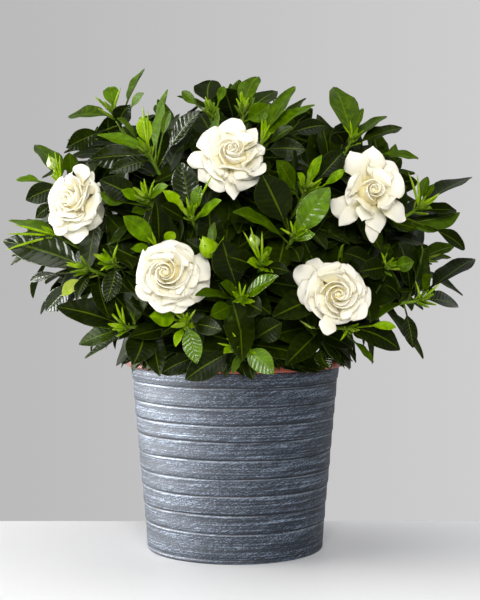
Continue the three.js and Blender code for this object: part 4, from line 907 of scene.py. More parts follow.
# Leafy shoots
def clear_of_blooms(points, blooms):
    """True where no point stands in a bloom or hides one from the picture's view."""
    for bloom in blooms:
        for point in points:
            if (point - bloom.heart).length < BLOOM_RADIUS:
                return False
            apart = (picture_place(point) - Vector((*bloom.row["centre"], 0))).length
            if apart < BLOOM_CLEAR_PX and point.y < bloom.heart.y + BEHIND_BLOOM:
                return False
    return True


class SeenLeaves:
    """Points on the leaves that the photograph shows, which added leaves don't hide."""

    def __init__(self, forms):
        points = [form.centre(t) for form in forms for t in SEEN_TESTED]
        self.depths = [point.y for point in points]
        self.tree = KDTree(len(points))
        for number, point in enumerate(points):
            self.tree.insert(picture_place(point), number)
        self.tree.balance()

    def stay_clear(self, points):
        """True where no point shows in front of one of these leaves."""
        for point in points:
            for _, number, _ in self.tree.find_range(picture_place(point), LEAF_CLEAR_PX):
                if point.y < self.depths[number] - 1:
                    return False
        return True


def inside_crown(point, share):
    """True inside the crown, or inside a share of its size."""
    flat = (point.x / CROWN_HALF_WIDTH) ** 2 + (point.y / CROWN_HALF_DEPTH) ** 2
    return flat + ((point.z - CROWN_CENTRE.z) / CROWN_HALF_HEIGHT) ** 2 < share * share


def above_pot(point):
    """True where a leaf doesn't touch the pot's rim."""
    outside = math.hypot(point.x, point.y) > GROW_RIM_RADIUS + OUTSIDE_RIM
    return outside or point.z > POT_HEIGHT + GROW_RIM_HEIGHT + ABOVE_RIM


def added_leaf(form, plant, reach=None, tip_free=False):
    """A leaf that the rule adds, or None where it would hide a bloom or a seen leaf, or touch the pot."""
    points = [form.centre(t) for t in TESTED]
    shown = points[:2] if tip_free else points
    clear = clear_of_blooms(points, plant.blooms) and plant.seen.stay_clear(shown)
    if reach is not None:
        clear = clear and inside_crown(form.tip, reach)
    return form if clear and all(above_pot(point) for point in points) else None


def filler_leaf(plant, shoot, number):
    """An inner leaf further down a shoot."""
    key = shoot.index * BLADE_KEYS + FILLER_KEYS + number
    below = 6 + (shoot.length - 10) * (number + 0.5) / FILLERS
    turn = number * LEAF_TURN + shoot.twist + 0.4 * sway(key, 1)
    tilt = math.radians(FILLER_LEAN + 22 * sway(key, 2))
    length = FILLER_LENGTH + 14 * sway(key, 3)
    form = stem_leaf(shoot, below, turn, tilt, length, 0.3 * sway(key, 4), 0.12 + 0.12 * sway(key, 5), key)
    form.width *= 1.12
    return added_leaf(form, plant, FILLER_REACH if form.tip.y < 0 else BACK_FILLER_REACH)


def tuft_leaf(plant, shoot, number):
    """A small young leaf beside a shoot's tip, or None where it would show in front of a bloom."""
    key = TUFT_KEYS + shoot.index * TUFT_LEAVES + number
    root = shoot.point_below(2 + number)
    outward = out_from(shoot.way, number * LEAF_TURN + 1.3 * shoot.twist)
    length = TUFT_LENGTH * (1 + 0.35 * sway(key, 1))
    tip = root + (shoot.way + outward * (0.3 + 0.5 * number / TUFT_LEAVES)).normalized() * length
    middle = root.lerp(tip, 0.5) + outward * (0.1 * length)
    face = shoot.way - outward * 0.6
    tone = TUFT_TONE + 0.08 * sway(key, 2)
    form = Blade(root, middle, tip, face, length * 0.24, 0.4, 0.04, "leaf", "short", key, tone)
    return form if clear_of_blooms([form.centre(0.5), tip], plant.blooms) else None


def twig_bend(shoot, limbs):
    """Start, middle and end of the twig that carries a shoot, from the limb nearest to it."""
    low, high = min(limbs, key=lambda limb: (limb[1] - shoot.foot).length)
    end = shoot.foot - shoot.foot_way * SEAT_GAP
    middle = end - shoot.foot_way * (0.45 * (high - end).length)
    return high.lerp(low, 0.06 + 0.4 * chance(shoot.index, 5)), middle, end


def twig_leaf(plant, shoot, number):
    """A leaf inside the crown, on the twig below a shoot."""
    key = TWIG_KEYS + shoot.index * TWIG_LEAVES + number
    twig = twig_bend(shoot, plant.limbs)
    t = 0.25 + 0.75 * (number + 0.5) / TWIG_LEAVES
    root, way = bend(*twig, t), bend_way(*twig, t).normalized()
    outward = out_from(way, number * LEAF_TURN + shoot.twist)
    length = TWIG_LEAF_LENGTH * (1 + 0.2 * sway(key, 1))
    tip = root + (outward + way * 0.4 + UP * (0.6 + 0.4 * sway(key, 2))).normalized() * length
    middle = root.lerp(tip, 0.5) + UP * (0.12 * length)
    face = UP + way * 0.4 + outward * (0.4 * sway(key, 3))
    tone = 0.04 + 0.14 * chance(key, 4)
    form = plain_leaf(root, middle, tip, face, length * INNER_SLENDERNESS, key, tone)
    return added_leaf(form, plant, TWIG_LEAF_REACH)


def skirt_leaf(plant, roots, hang, turn, number):
    """A leaf from one of these roots that hangs over the pot's rim, or None where none fits."""
    arch, spread, rise, share = hang
    key = SKIRT_KEYS + number
    if chance(key, 8) > share:
        return None
    out = Vector((math.cos(turn), math.sin(turn), 0))
    reach = GROW_RIM_RADIUS + 7 + spread * chance(key, 2)
    tip = out * reach + UP * (POT_HEIGHT - 3 + rise * chance(key, 3))
    root = min(roots, key=lambda point: abs((tip - point).length - SKIRT_LENGTH))
    length = (tip - root).length
    if abs(length - SKIRT_LENGTH) > SKIRT_SPARE:
        return None
    if math.hypot(root.x, root.y) > math.hypot(tip.x, tip.y) + 4:
        return None
    middle = root.lerp(tip, 0.5) + UP * (arch * length) + out * 4
    face = out + UP * (0.5 + 0.4 * sway(key, 5)) + out.cross(UP) * (0.3 * sway(key, 7))
    form = plain_leaf(root, middle, tip, face, length * LEAF_SLENDERNESS, key, 0.1 + 0.12 * sway(key, 6))
    return added_leaf(form, plant, tip_free=True)


def plan_skirts(plant):
    """Leaves all round the pot's rim, each on the low shoot that carries it best, or else on a twig."""
    stems = [(shoot, [shoot.point_below(below) for below in range(8, 64, 4)])
             for shoot in plant.shoots if shoot.tip.z < SKIRT_BELOW_Z]
    twigs = [(shoot, [bend(*twig_bend(shoot, plant.limbs), step / 8) for step in range(1, 8)])
             for shoot in plant.shoots]
    skirts = {}
    for number in range(SKIRT_LEAVES):
        turn = math.tau * (number + 0.4 * sway(number, 71)) / SKIRT_LEAVES
        forms = []
        for hang, places in ((STEM_SKIRT, stems), (TWIG_SKIRT, twigs)):
            if not forms:
                forms = [(shoot, skirt_leaf(plant, roots, hang, turn, number)) for shoot, roots in places]
                forms = [(shoot, form) for shoot, form in forms if form]
        if forms:
            shoot, form = min(forms, key=lambda pair: abs(pair[1].length() - SKIRT_LENGTH))
            skirts.setdefault(shoot.name, []).append(form)
    return skirts


def matched_leaves(shoot):
    """The leaves of a shoot that the photograph shows, each as its node has it."""
    forms = [matched(shoot.name, lambda attempt: seen_leaf(shoot, number, attempt))
             for number in range(len(shoot.leaves))]
    return [form for form in forms if form]


def shoot_piece(plant, shoot):
    """A shoot's stem, leaves, young spikes and bud."""
    skin = Skin()
    line = curve_line(shoot.foot, shoot.middle, shoot.tip, STEM_RADIUS, STEM_TIP_RADIUS * 0.8, 10)
    skin.add_tube(line, 10, finish=STEM_FINISH, tip=shoot.tip + shoot.end_way * STEM_TIP_RADIUS)
    pairs = [matched(shoot.name, lambda attempt: pair_leaf(shoot, pair, number, attempt))
             for pair in range(len(shoot.pairs)) for number in (0, 1)]
    added = [filler_leaf(plant, shoot, number) for number in range(FILLERS)]
    added += [twig_leaf(plant, shoot, number) for number in range(TWIG_LEAVES)]
    added += plant.skirts.get(shoot.name, [])
    added += [tuft_leaf(plant, shoot, number) for number in range(TUFT_LEAVES)]
    for forms, fine in ((plant.leaves[shoot.name] + pairs, True), (added, False)):
        for form in filter(None, forms):
            add_leaf(skin, form, fine)
    for px, py in shoot.spikes:
        add_spike(skin, shoot, px, py)
    if shoot.bud:
        px, py, radius, finish = shoot.bud
        centre = at(px, py, shoot.tip.y - 3)
        way = (centre - shoot.tip).normalized()
        add_bud(skin, centre, way, radius, radius * 2.6, finish, SPIKE_TONE)
        neck = [(shoot.tip - shoot.way * 2, 1.4), (shoot.tip, 1.4), (centre, 1.6)]
        skin.add_tube(neck, 8, finish=STEM_FINISH)
    hand_over(skin.make(f"{shoot.name}_leaves", *SHOOT_LOOKS), "leaf", shoot.name)


# Blooms
def inner_petal(bloom, turn, out, rise, width, tone, key):
    """A petal that curves up round the heart of a bloom."""
    heart, way = bloom.heart, bloom.way
    outward = out_from(way, turn)
    root = heart + outward * (BUD_RADIUS * 0.5)
    tip = heart + outward * (BLOOM_RADIUS * out) + way * (BLOOM_RADIUS * rise)
    middle = heart + outward * (BLOOM_RADIUS * (out * 0.9 + 0.06)) + way * (BLOOM_RADIUS * rise * 0.35)
    aside = (tip - root).normalized().cross(outward).normalized()
    lean = min(1, 0.3 + out)
    face = way * lean - outward * (1.1 - lean) + aside * 0.18
    form = Blade(root, middle, tip, face, width, 0.3, PETAL_FOOT, "petal", "short", key, tone)
    form.rolls_back = out > 0.4
    return form


def add_wrap(skin, bloom, turn, arc, radius, height, key):
    """A petal rolled part of the way round the heart of a bloom, a little looser towards one end."""
    rings, places = [], []
    flare = bloom.row["flare"] + 0.1 * sway(key, 61)
    for v in WRAP_COLUMNS:
        outward = out_from(bloom.way, turn + v * arc / 2)
        tall = height * (1 - 0.35 * abs(v) ** 3) + 0.6 * math.sin(math.tau * (v + chance(key, 62)))
        inner, outer = [], []
        for share in WRAP_ROWS:
            out = radius * (1 + WRAP_LOOSER * v) * (0.75 + 0.25 * min(1, 2 * share) + flare * share * share)
            middle = bloom.heart + bloom.way * (tall * share)
            inner.append(middle + outward * (out - PETAL_FINE_THICKNESS / 2))
            outer.append(middle + outward * (out + PETAL_FINE_THICKNESS / 2))
        rings.append(inner + outer[::-1])
        along = [(0.5 + v / 2, 0.45 + 0.55 * share) for share in WRAP_ROWS]
        places.append(along + along[::-1])
    skin.add_rings(rings, places)


def bloom_piece(bloom):
    """A bloom: its neck, the rolled petals of its heart, its outer petals and the rings between."""
    skin = Skin()
    heart, way, index, row = bloom.heart, bloom.way, bloom.index, bloom.row
    neck = heart - way * BLOOM_NECK
    skin.add_tube([(neck, 2.6), (neck.lerp(heart, 0.5), 4.0), (heart, 7)], 12, finish=NECK_FINISH)
    # The core is darkened by its tone, a painted shade that shows in the gaps between the rolled petals
    add_bud(skin, heart, way, CORE_RADIUS, CORE_LENGTH, 0, CORE_SHADE)
    for ring, (count, arc, radius, height) in enumerate(HEART_WRAPS[:row["wraps"]]):
        for number in range(count):
            turn = math.tau * number / count + index + 1.9 * ring
            key = index * BLADE_KEYS + 10 * ring + number
            add_wrap(skin, bloom, turn, math.radians(arc), radius, height, key)
    for number in range(len(row["petals"])):
        form = matched(bloom.name, lambda attempt: seen_petal(bloom, row["petals"], number, attempt))
        form = form or seen_petal(bloom, row["petals"], number, 0)
        form.rolls_back = True
        form.taper = row["taper"]
        add_petal(skin, form)
    for number in range(len(row["inner"])):
        form = seen_petal(bloom, row["inner"], number, 0)
        form.rolls_back = True
        form.width *= 1.25
        add_petal(skin, form)
    for count, out, rise, width, tone in row["rings"]:
        for number in range(count):
            key = index * BLADE_KEYS + RING_KEYS + int(out * 100) + number
            turn = math.tau * number / count + index + 7 * out + 0.2 * sway(key, 1)
            add_petal(skin, inner_petal(bloom, turn, out, rise + 0.04 * sway(key, 2), width, tone, key))
    hand_over(skin.make(f"{bloom.name}_petals", "petal", "petal", "petal_neck"), "petal", bloom.name)


def stalk_leaf(plant, bloom, shoot, number):
    """A leaf of the whorl that a bloom sits on, or None where it would stand in another bloom."""
    key = shoot.index * BLADE_KEYS + number
    outward = out_from(bloom.way, number * LEAF_TURN + shoot.twist)
    root = bend(shoot.foot, shoot.middle, shoot.tip, 0.9 - 0.05 * number)
    length = STALK_LEAF_LENGTH + 10 * sway(key, 3)
    tip = root + (outward + bloom.way * (0.12 + 0.2 * sway(key, 2))).normalized() * length
    middle = root.lerp(tip, 0.5) - bloom.way * 5
    face = bloom.way + UP * 0.5 + outward * 0.2 * sway(key, 4)
    tone = 0.14 + 0.1 * sway(key, 5)
    form = plain_leaf(root, middle, tip, face, length * INNER_SLENDERNESS, key, tone)
    others = [other for other in plant.blooms if other is not bloom]
    points = [form.centre(0.7), tip, form.centre(0.4)]
    edges = [form.centre(t) + form.across * (side * form.width / 2) for t in (0.4, 0.7) for side in (-1, 1)]
    clear = clear_of_blooms(points[:2], others) and plant.seen.stay_clear(points + edges)
    return form if clear and above_pot(tip) and inside_crown(tip, 1.0) else None


def stalk_piece(plant, bloom, shoot):
    """The green stalk under a bloom, its whorl of leaves, and the sepals that hold its neck."""
    skin = Skin()
    for form in filter(None, [stalk_leaf(plant, bloom, shoot, number) for number in range(STALK_LEAVES)]):
        add_leaf(skin, form, False)
    line = curve_line(shoot.foot, shoot.middle, shoot.tip, STEM_RADIUS, STEM_TIP_RADIUS, 12)
    skin.add_tube(line, 10, finish=STEM_FINISH)
    for number in range(SEPALS):
        outward = out_from(bloom.way, math.tau * number / SEPALS)
        root = shoot.tip - bloom.way * 2 + outward * 1.2
        tip = root + outward * 7 - bloom.way * 3
        middle = root + outward * 5 + bloom.way * 1
        line = [(bend(root, middle, tip, t), SEPAL_RADIUS * (1 - 0.8 * t)) for t in (0, 0.3, 0.6, 0.9)]
        skin.add_tube(line, 6, tip=tip, finish=STEM_FINISH)
    hand_over(skin.make(f"{shoot.name}_green", "leaf_upper", "leaf_under", "green_stem"), "leaf", shoot.name)


# Woody stem, pots and soil
def limb_lines():
    """Start and end of the leader and of each limb."""
    limbs = [(Vector((0, 0, TRUNK_TOP_Z - 4)), Vector((0, 4, LEADER_Z)))]
    for limb in range(LIMBS_ROUND):
        for turn_more, reach, low, high in LIMB_RINGS:
            turn = limb / LIMBS_ROUND * math.tau + turn_more
            tip = Vector((math.cos(turn) * reach, math.sin(turn) * reach, high))
            limbs.append((Vector((0, 0, low)), tip))
    return limbs


def woody_piece(limbs, shoots):
    """Trunk, limbs, and a twig to each shoot and stalk."""
    skin = Skin()
    foot = Vector((0, 0, SOIL_TOP_Z - STEM_HOLE_DEPTH + SEAT_GAP))
    top = Vector((0, 0, TRUNK_TOP_Z))
    skin.add_tube(curve_line(foot, foot.lerp(top, 0.5), top, TRUNK_RADIUS, TRUNK_RADIUS * 0.62, 8), 16)
    for start, end in limbs:
        skin.add_tube(curve_line(start, start.lerp(end, 0.5), end, LIMB_RADIUS, LIMB_TIP_RADIUS, 5), 10)
    for shoot in shoots:
        skin.add_tube(curve_line(*twig_bend(shoot, limbs), TWIG_RADIUS, STEM_RADIUS, 8), 8)
    hand_over(skin.make("woody_stem_bark", "bark"), "bark", "woody_stem")


def pot_radius(z):
    """Radius of the zinc pot's plain wall at a height."""
    return POT_BASE_RADIUS + (POT_TOP_RADIUS - POT_BASE_RADIUS) * z / POT_HEIGHT


def turned(profile, steps, wobble=None):
    """Rings round the pot's axis, each moved by wobble(turn, radius, z) where one is given."""
    rings = []
    for radius, z in profile:
        ring = []
        for step in range(steps):
            turn = math.tau * step / steps
            out, rise = wobble(turn, radius, z) if wobble else (0, 0)
            ring.append(Vector(((radius + out) * math.cos(turn), (radius + out) * math.sin(turn), z + rise)))
        rings.append(ring)
    return rings


def zinc_profile():
    """Radius, height and tone of each ring: the outer wall from its foot up, then down inside. A low tone
    paints shade, a high one a highlight.
    """
    base, top, foot = POT_BASE_RADIUS, POT_TOP_RADIUS, pot_radius(SEAM_Z)
    profile = [(base - 2.5, 0, 0.4), (base - 0.6, 0.2, 0.8), (base, 1.2, 1.4),
               (foot - 0.1, SEAM_Z - 0.8, 1), (foot - 0.9, SEAM_Z, 0), (foot - 0.1, SEAM_Z + 0.8, 1)]
    below = SEAM_Z + 0.8
    for z in LEDGE_HEIGHTS:
        for share in (0.25, 0.5, 0.75):
            height = below + (z - BAND_END - below) * share
            profile.append((pot_radius(height) - PRESSED_DEPTH * share ** 1.5, height, 1))
        profile += [(pot_radius(z) - inset, z + rise, tone) for inset, rise, tone in LEDGE_FORM]
        below = z + LEDGE_FORM[-1][1]
    hem = [(top - 0.2, POT_HEIGHT - 6, 1), (top, POT_HEIGHT - 0.6, 1), (top - 0.5, POT_HEIGHT, 1.4),
           (top - POT_WALL + 0.4, POT_HEIGHT, 1.4), (top - POT_WALL, POT_HEIGHT - 0.6, 1)]
    return profile + hem + [(base - POT_WALL - LEDGE_DEPTH, POT_WALL, 1)]


def zinc_wobble(turn, _, z):
    """Hand-pressed sheet: ledges that rise and fall a little, and shallow dents."""
    if z < SEAM_Z + 1 or z > POT_HEIGHT - 3:
        return 0, 0
    way = Vector((math.cos(turn) * 2.1, math.sin(turn) * 2.1, z * 0.035))
    row = Vector((math.cos(turn) * 1.6, math.sin(turn) * 1.6, round(z / 17) * 3.7))
    return DENT * noise.noise(way) - DENT_INSET, LEDGE_SWAY * noise.noise(row)


def zinc_piece():
    """The ridged zinc pot."""
    skin = Skin()
    profile = zinc_profile()
    rings = turned([(radius, z) for radius, z, _ in profile], POT_TURN_STEPS, zinc_wobble)
    skin.add_rings(rings, ring_tones=[tone for _, _, tone in profile])
    hand_over(skin.make("zinc_pot_sheet", "zinc"), "zinc", "zinc_pot")


def grow_piece():
    """The plastic grow pot, with its rounded flange."""
    low, base, neck, rim = GROW_BASE_Z, GROW_BASE_RADIUS, GROW_NECK_RADIUS, GROW_RIM_RADIUS
    flange = POT_HEIGHT + SEAT_GAP
    top = flange + GROW_RIM_HEIGHT
    profile = [(base - 1, low), (base, low + 1), (neck, flange), (rim - 1.2, flange),
               (rim - 0.3, flange + 0.5), (rim, flange + 1.6), (rim - 0.1, top - 3), (rim - 0.7, top - 1.2),
               (rim - 2, top - 0.3), (rim - 3.4, top), (neck + 1, top - 0.3), (neck - 0.5, top - 1.2),
               (base - GROW_WALL, low + GROW_WALL + 1), (base - GROW_WALL - 1, low + GROW_WALL)]
    skin = Skin()
    skin.add_rings(turned(profile, GROW_TURN_STEPS))
    hand_over(skin.make("grow_pot_plastic", "plastic"), "plastic", "grow_pot")


def soil_piece():
    """Potting soil with an uneven top; its crumbs come from scattering."""
    inside_low = GROW_BASE_RADIUS - GROW_WALL - 1.5
    edge = GROW_NECK_RADIUS - 6.5
    profile = [(inside_low, GROW_BASE_Z + GROW_WALL + SEAT_GAP), (edge, SOIL_TOP_Z - 3)]
    for step in range(SOIL_STEPS + 1):
        profile.append((edge - (edge - TRUNK_RADIUS - 1) * step / SOIL_STEPS, SOIL_TOP_Z - 1))

    def bumps(turn, radius, z):
        """No move outwards, and low bumps on top."""
        if z < SOIL_TOP_Z - 2:
            return 0, 0
        return 0, 1.2 * noise.noise(Vector((radius * math.cos(turn), radius * math.sin(turn), 0)) * 0.12)

    skin = Skin()
    skin.add_rings(turned(profile, SOIL_TURN_STEPS, bumps))
    hand_over(skin.make("soil_top", "soil"), "soil", "soil")


def scatter_crumbs():
    """Crumbs and bark chips on the soil, scattered by nodes and then kept as a plain mesh."""
    group = bpy.data.node_groups.new("soil_crumbs", "GeometryNodeTree")
    group.interface.new_socket("Geometry", in_out="OUTPUT", socket_type="NodeSocketGeometry")
    sizes = {"Radius": (GROW_NECK_RADIUS - 9) * MM, "Height": (SOIL_TOP_Z + 0.2) * MM,
             "Density": CRUMB_DENSITY, "Crumb size": CRUMB_SIZE * MM}
    for name, value in sizes.items():
        socket = group.interface.new_socket(name, in_out="INPUT", socket_type="NodeSocketFloat")
        socket.default_value = value
    given = add(group, "NodeGroupInput").outputs
    disc = add(group, "GeometryNodeMeshCircle", {"Vertices": 48, "Radius": given["Radius"]}, fill_type="NGON")
    spread = add(group, "GeometryNodeDistributePointsOnFaces",
                 {"Mesh": disc, "Density": given["Density"], "Seed": 7})
    place = add(group, "ShaderNodeCombineXYZ", {"Z": given["Height"]})
    raised = add(group, "GeometryNodeSetPosition", {"Geometry": spread, "Offset": place})
    crumb = add(group, "GeometryNodeMeshIcoSphere", {"Radius": given["Crumb size"], "Subdivisions": 1})
    stretch = add(group, "FunctionNodeRandomValue", {0: (0.5, 0.4, 0.25), 1: (1.7, 1.3, 0.7), "Seed": 11},
                  data_type="FLOAT_VECTOR")
    spin = add(group, "FunctionNodeRandomValue", {0: (-0.4, -0.4, 0), 1: (0.4, 0.4, math.tau), "Seed": 12},
               data_type="FLOAT_VECTOR")
    copies = add(group, "GeometryNodeInstanceOnPoints",
                 {"Points": raised, "Instance": crumb, "Rotation": spin, "Scale": stretch})
    real = add(group, "GeometryNodeRealizeInstances", copies)
    looked = add(group, "GeometryNodeSetMaterial", {"Geometry": real, "Material": LOOKS["soil"]})
    add(group, "NodeGroupOutput", looked)
    host = new_object("crumb_host", bpy.data.meshes.new("crumb_host"))
    host.modifiers.new("scatter", "NODES").node_group = group
    bpy.context.view_layer.update()
    scattered = host.evaluated_get(bpy.context.evaluated_depsgraph_get())
    mesh = bpy.data.meshes.new_from_object(scattered)
    bpy.data.objects.remove(host)
    piece = new_object("soil_crumbs", mesh)
    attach(piece, "root")


# Looks
def linear(colour):
    """An sRGB hex colour as linear red, green, blue and full alpha."""
    parts = [int(colour[start:start + 2], 16) / 255 for start in (1, 3, 5)]
    return [part / 12.92 if part <= 0.04045 else ((part + 0.055) / 1.055) ** 2.4 for part in parts] + [1.0]


def join(tree, value, socket):
    """Gives an input a fixed value, or links a socket or a node's first output to it."""
    if isinstance(value, bpy.types.Node):
        value = value.outputs[0]
    if isinstance(value, bpy.types.NodeSocket):
        tree.links.new(value, socket)
    else:
        socket.default_value = value


def add(tree, kind, *inputs, stops=(), **settings):
    """A node with its settings, a ramp's stops, and its inputs in their order or in one dict by name."""
    made = tree.nodes.new(kind)
    for name, value in settings.items():
        setattr(made, name, value)
    named = inputs[0] if inputs and isinstance(inputs[0], dict) else dict(enumerate(inputs))
    for name, value in named.items():
        join(tree, value, made.inputs[name])
    if stops:
        elements = made.color_ramp.elements
        while len(elements) < len(stops):
            elements.new(0.5)
        for element, (place, colour) in zip(elements, stops):
            element.position = place
            element.color = linear(colour)
    return made


def patches(tree, size_mm, detail=3, stretch=(1, 1, 1), turn=(0, 0, 0), rough=0.5):
    """Noise on the object's own coordinates, with patches of about a size in mm."""
    place = add(tree, "ShaderNodeTexCoord").outputs["Object"]
    # One Mapping node stretches before it turns, so the turn has a node of its own
    turned_place = add(tree, "ShaderNodeMapping", {"Vector": place, "Rotation": turn})
    scaled = add(tree, "ShaderNodeMapping", {"Vector": turned_place, "Scale": stretch})
    values = {"Vector": scaled, "Scale": 1 / (size_mm * MM), "Detail": detail, "Roughness": rough}
    return add(tree, "ShaderNodeTexNoise", values)


def mottled(stops, *noise_values):
    """A colour that wanders through some stops, for new_look."""
    return lambda tree: add(tree, RAMP, patches(tree, *noise_values), stops=stops)


def pitted(*noise_values):
    """A bump of plain noise, for new_look."""
    return lambda tree: patches(tree, *noise_values)


def new_look(name, colour, roughness, bump=None, bump_mm=0.3, **values):
    """A material with one surface: fixed values go onto its own sockets, and functions make its nodes."""
    material = bpy.data.materials.new(name)
    material.use_nodes = True
    tree = material.node_tree
    inputs = {"Base Color": colour(tree) if callable(colour) else linear(colour),
              "Roughness": roughness(tree) if callable(roughness) else roughness}
    if bump:
        inputs["Normal"] = add(tree, "ShaderNodeBump", {"Height": bump(tree), "Distance": bump_mm * MM})
    inputs.update({key.replace("_", " "): value for key, value in values.items()})
    for socket, value in inputs.items():
        join(tree, value, tree.nodes["Principled BSDF"].inputs[socket])
    return material


def blade_place(tree):
    """Across the blade from 0 at its midrib to 1 at its edge, and along it from 0 to 1."""
    place = add(tree, "ShaderNodeSeparateXYZ", add(tree, "ShaderNodeUVMap", uv_map="blade")).outputs
    sideways = add(tree, MATH, place["X"], 2.0, -1.0, operation="MULTIPLY_ADD")
    return add(tree, MATH, sideways, operation="ABSOLUTE"), place["Y"]


def tone_of(tree):
    """The tone that each point of a piece carries."""
    return add(tree, "ShaderNodeAttribute", attribute_name="tone").outputs["Fac"]


def leaf_veins(tree):
    """0 in the sunken midrib and side veins, 1 on the puffed blade between them."""
    across, along = blade_place(tree)
    uneven = add(tree, MATH, patches(tree, 18, 1), 0.12, operation="MULTIPLY")
    sweep = add(tree, MATH, across, VEIN_SWEEP, operation="MULTIPLY")
    swept = add(tree, MATH, along, sweep, operation="SUBTRACT")
    wavy = add(tree, MATH, uneven, swept, operation="ADD")
    rows = add(tree, MATH, wavy, VEIN_PAIRS, operation="MULTIPLY")
    half = add(tree, MATH, rows, 0.5, operation="PINGPONG")
    side = add(tree, MATH, half, 2.0, operation="MULTIPLY")
    beside_vein = add(tree, RANGE, side, -0.1, 0.7, **SMOOTH)
    beside_rib = add(tree, RANGE, across, 0.0, 0.12, **SMOOTH)
    return add(tree, MATH, beside_vein, beside_rib, operation="MINIMUM")


def leaf_colour(stops, vein, vein_share):
    """Mottled green with a pale midrib, faint side veins and a thin light margin."""
    def colour(tree):
        """The nodes of this look's colour."""
        wander = add(tree, MATH, patches(tree, 7), 0.5, -0.25, operation="MULTIPLY_ADD")
        young = add(tree, MATH, tone_of(tree), wander, operation="ADD")
        plain = add(tree, RAMP, young, stops=stops)
        across = blade_place(tree)[0]
        beside_rib = add(tree, RANGE, across, 0.02, 0.08, **SMOOTH)
        rib = add(tree, MATH, 1.0, beside_rib, operation="SUBTRACT")
        in_vein = add(tree, MATH, 1.0, leaf_veins(tree), operation="SUBTRACT")
        sides = add(tree, MATH, in_vein, 0.06, operation="MULTIPLY")
        rim = add(tree, RANGE, across, 0.93, 1.0, **SMOOTH)
        margin = add(tree, MATH, rim, 0.5, operation="MULTIPLY")
        veins = add(tree, MATH, rib, sides, operation="MAXIMUM")
        lines = add(tree, MATH, veins, margin, operation="MAXIMUM")
        share = add(tree, MATH, lines, vein_share, operation="MULTIPLY")
        return add(tree, MIX, {"Factor": share, 6: plain, 7: linear(vein)}, **COLOURS).outputs[2]
    return colour


def petal_colour(tree):
    """Ivory, with a green-yellow foot, painted shade in ochre towards the foot and in the heart's deep gaps,
    and a thin creamy edge.
    """
    across, along = blade_place(tree)
    # Painted shade: the tone moves the colour towards the ochre foot, most in the heart's core
    inwards = add(tree, MATH, tone_of(tree), HEART_SHADE, operation="MULTIPLY")
    shaded = add(tree, MATH, along, inwards, operation="SUBTRACT")
    side = add(tree, RANGE, across, 0.8, 1.0, **SMOOTH)
    end = add(tree, RANGE, along, 0.92, 1.0, **SMOOTH)
    edge = add(tree, MATH, side, end, operation="MAXIMUM")
    uneven = add(tree, MATH, edge, patches(tree, 9), operation="MULTIPLY")
    creamy = add(tree, MATH, uneven, 0.45, operation="MULTIPLY")
    plain = add(tree, RAMP, shaded, stops=PETAL_STOPS)
    return add(tree, MIX, {"Factor": creamy, 6: plain, 7: linear(PETAL_EDGE_COLOUR)}, **COLOURS).outputs[2]


def zinc_streaks(tree):
    """Whitish bloom wiped on in level streaks, crossed by slanting brush marks and fine grain."""
    level = patches(tree, 6, 7, (0.06, 0.06, 4.0), rough=0.8)
    slanted = patches(tree, 2.5, 5, (0.14, 0.14, 2.4), (0, math.radians(24), 0), 0.8)
    grain = patches(tree, 1, 3, (0.5, 0.5, 1.4), (0, math.radians(-20), 0), 0.8)
    fine = add(tree, MATH, grain, 0.32, operation="MULTIPLY")
    marks = add(tree, MATH, slanted, 0.26, fine, operation="MULTIPLY_ADD")
    return add(tree, MATH, level, 0.42, marks, operation="MULTIPLY_ADD")


def zinc_colour(tree):
    """Blue-grey sheet, with painted shade in the grooves and a painted highlight in patches along the beads.
    """
    sheet = add(tree, RAMP, zinc_streaks(tree), stops=ZINC_STOPS)
    uneven = add(tree, RANGE, patches(tree, 26, 2), 0.3, 0.6, **SMOOTH)
    # Painted shade: a low ring tone darkens the grooves, the seam and the foot
    off_groove = add(tree, RANGE, tone_of(tree), 0.1, 0.9, **SMOOTH)
    groove = add(tree, MATH, 1.0, off_groove, operation="SUBTRACT")
    # Painted highlight: a high ring tone lightens the beads in uneven patches, and a little the foot's edge
    # and the rim top
    bead = add(tree, RANGE, tone_of(tree), 1.2, 1.9, **SMOOTH)
    highlight_share = add(tree, MATH, uneven, 0.2, operation="MULTIPLY")
    bead_highlight = add(tree, MATH, bead, highlight_share, operation="MULTIPLY")
    depth = add(tree, MATH, groove, 0.9, operation="MULTIPLY")
    dark = add(tree, MIX, {"Factor": depth, 6: sheet, 7: linear(GROOVE_SHADE_COLOUR)}, **COLOURS).outputs[2]
    return add(tree, MIX, {"Factor": bead_highlight, 6: dark, 7: linear(BEAD_HIGHLIGHT_COLOUR)}, **COLOURS).outputs[2]


def zinc_roughness(tree):
    """Rougher where the whitish bloom lies."""
    return add(tree, MATH, zinc_streaks(tree), 0.3, 0.44, operation="MULTIPLY_ADD")


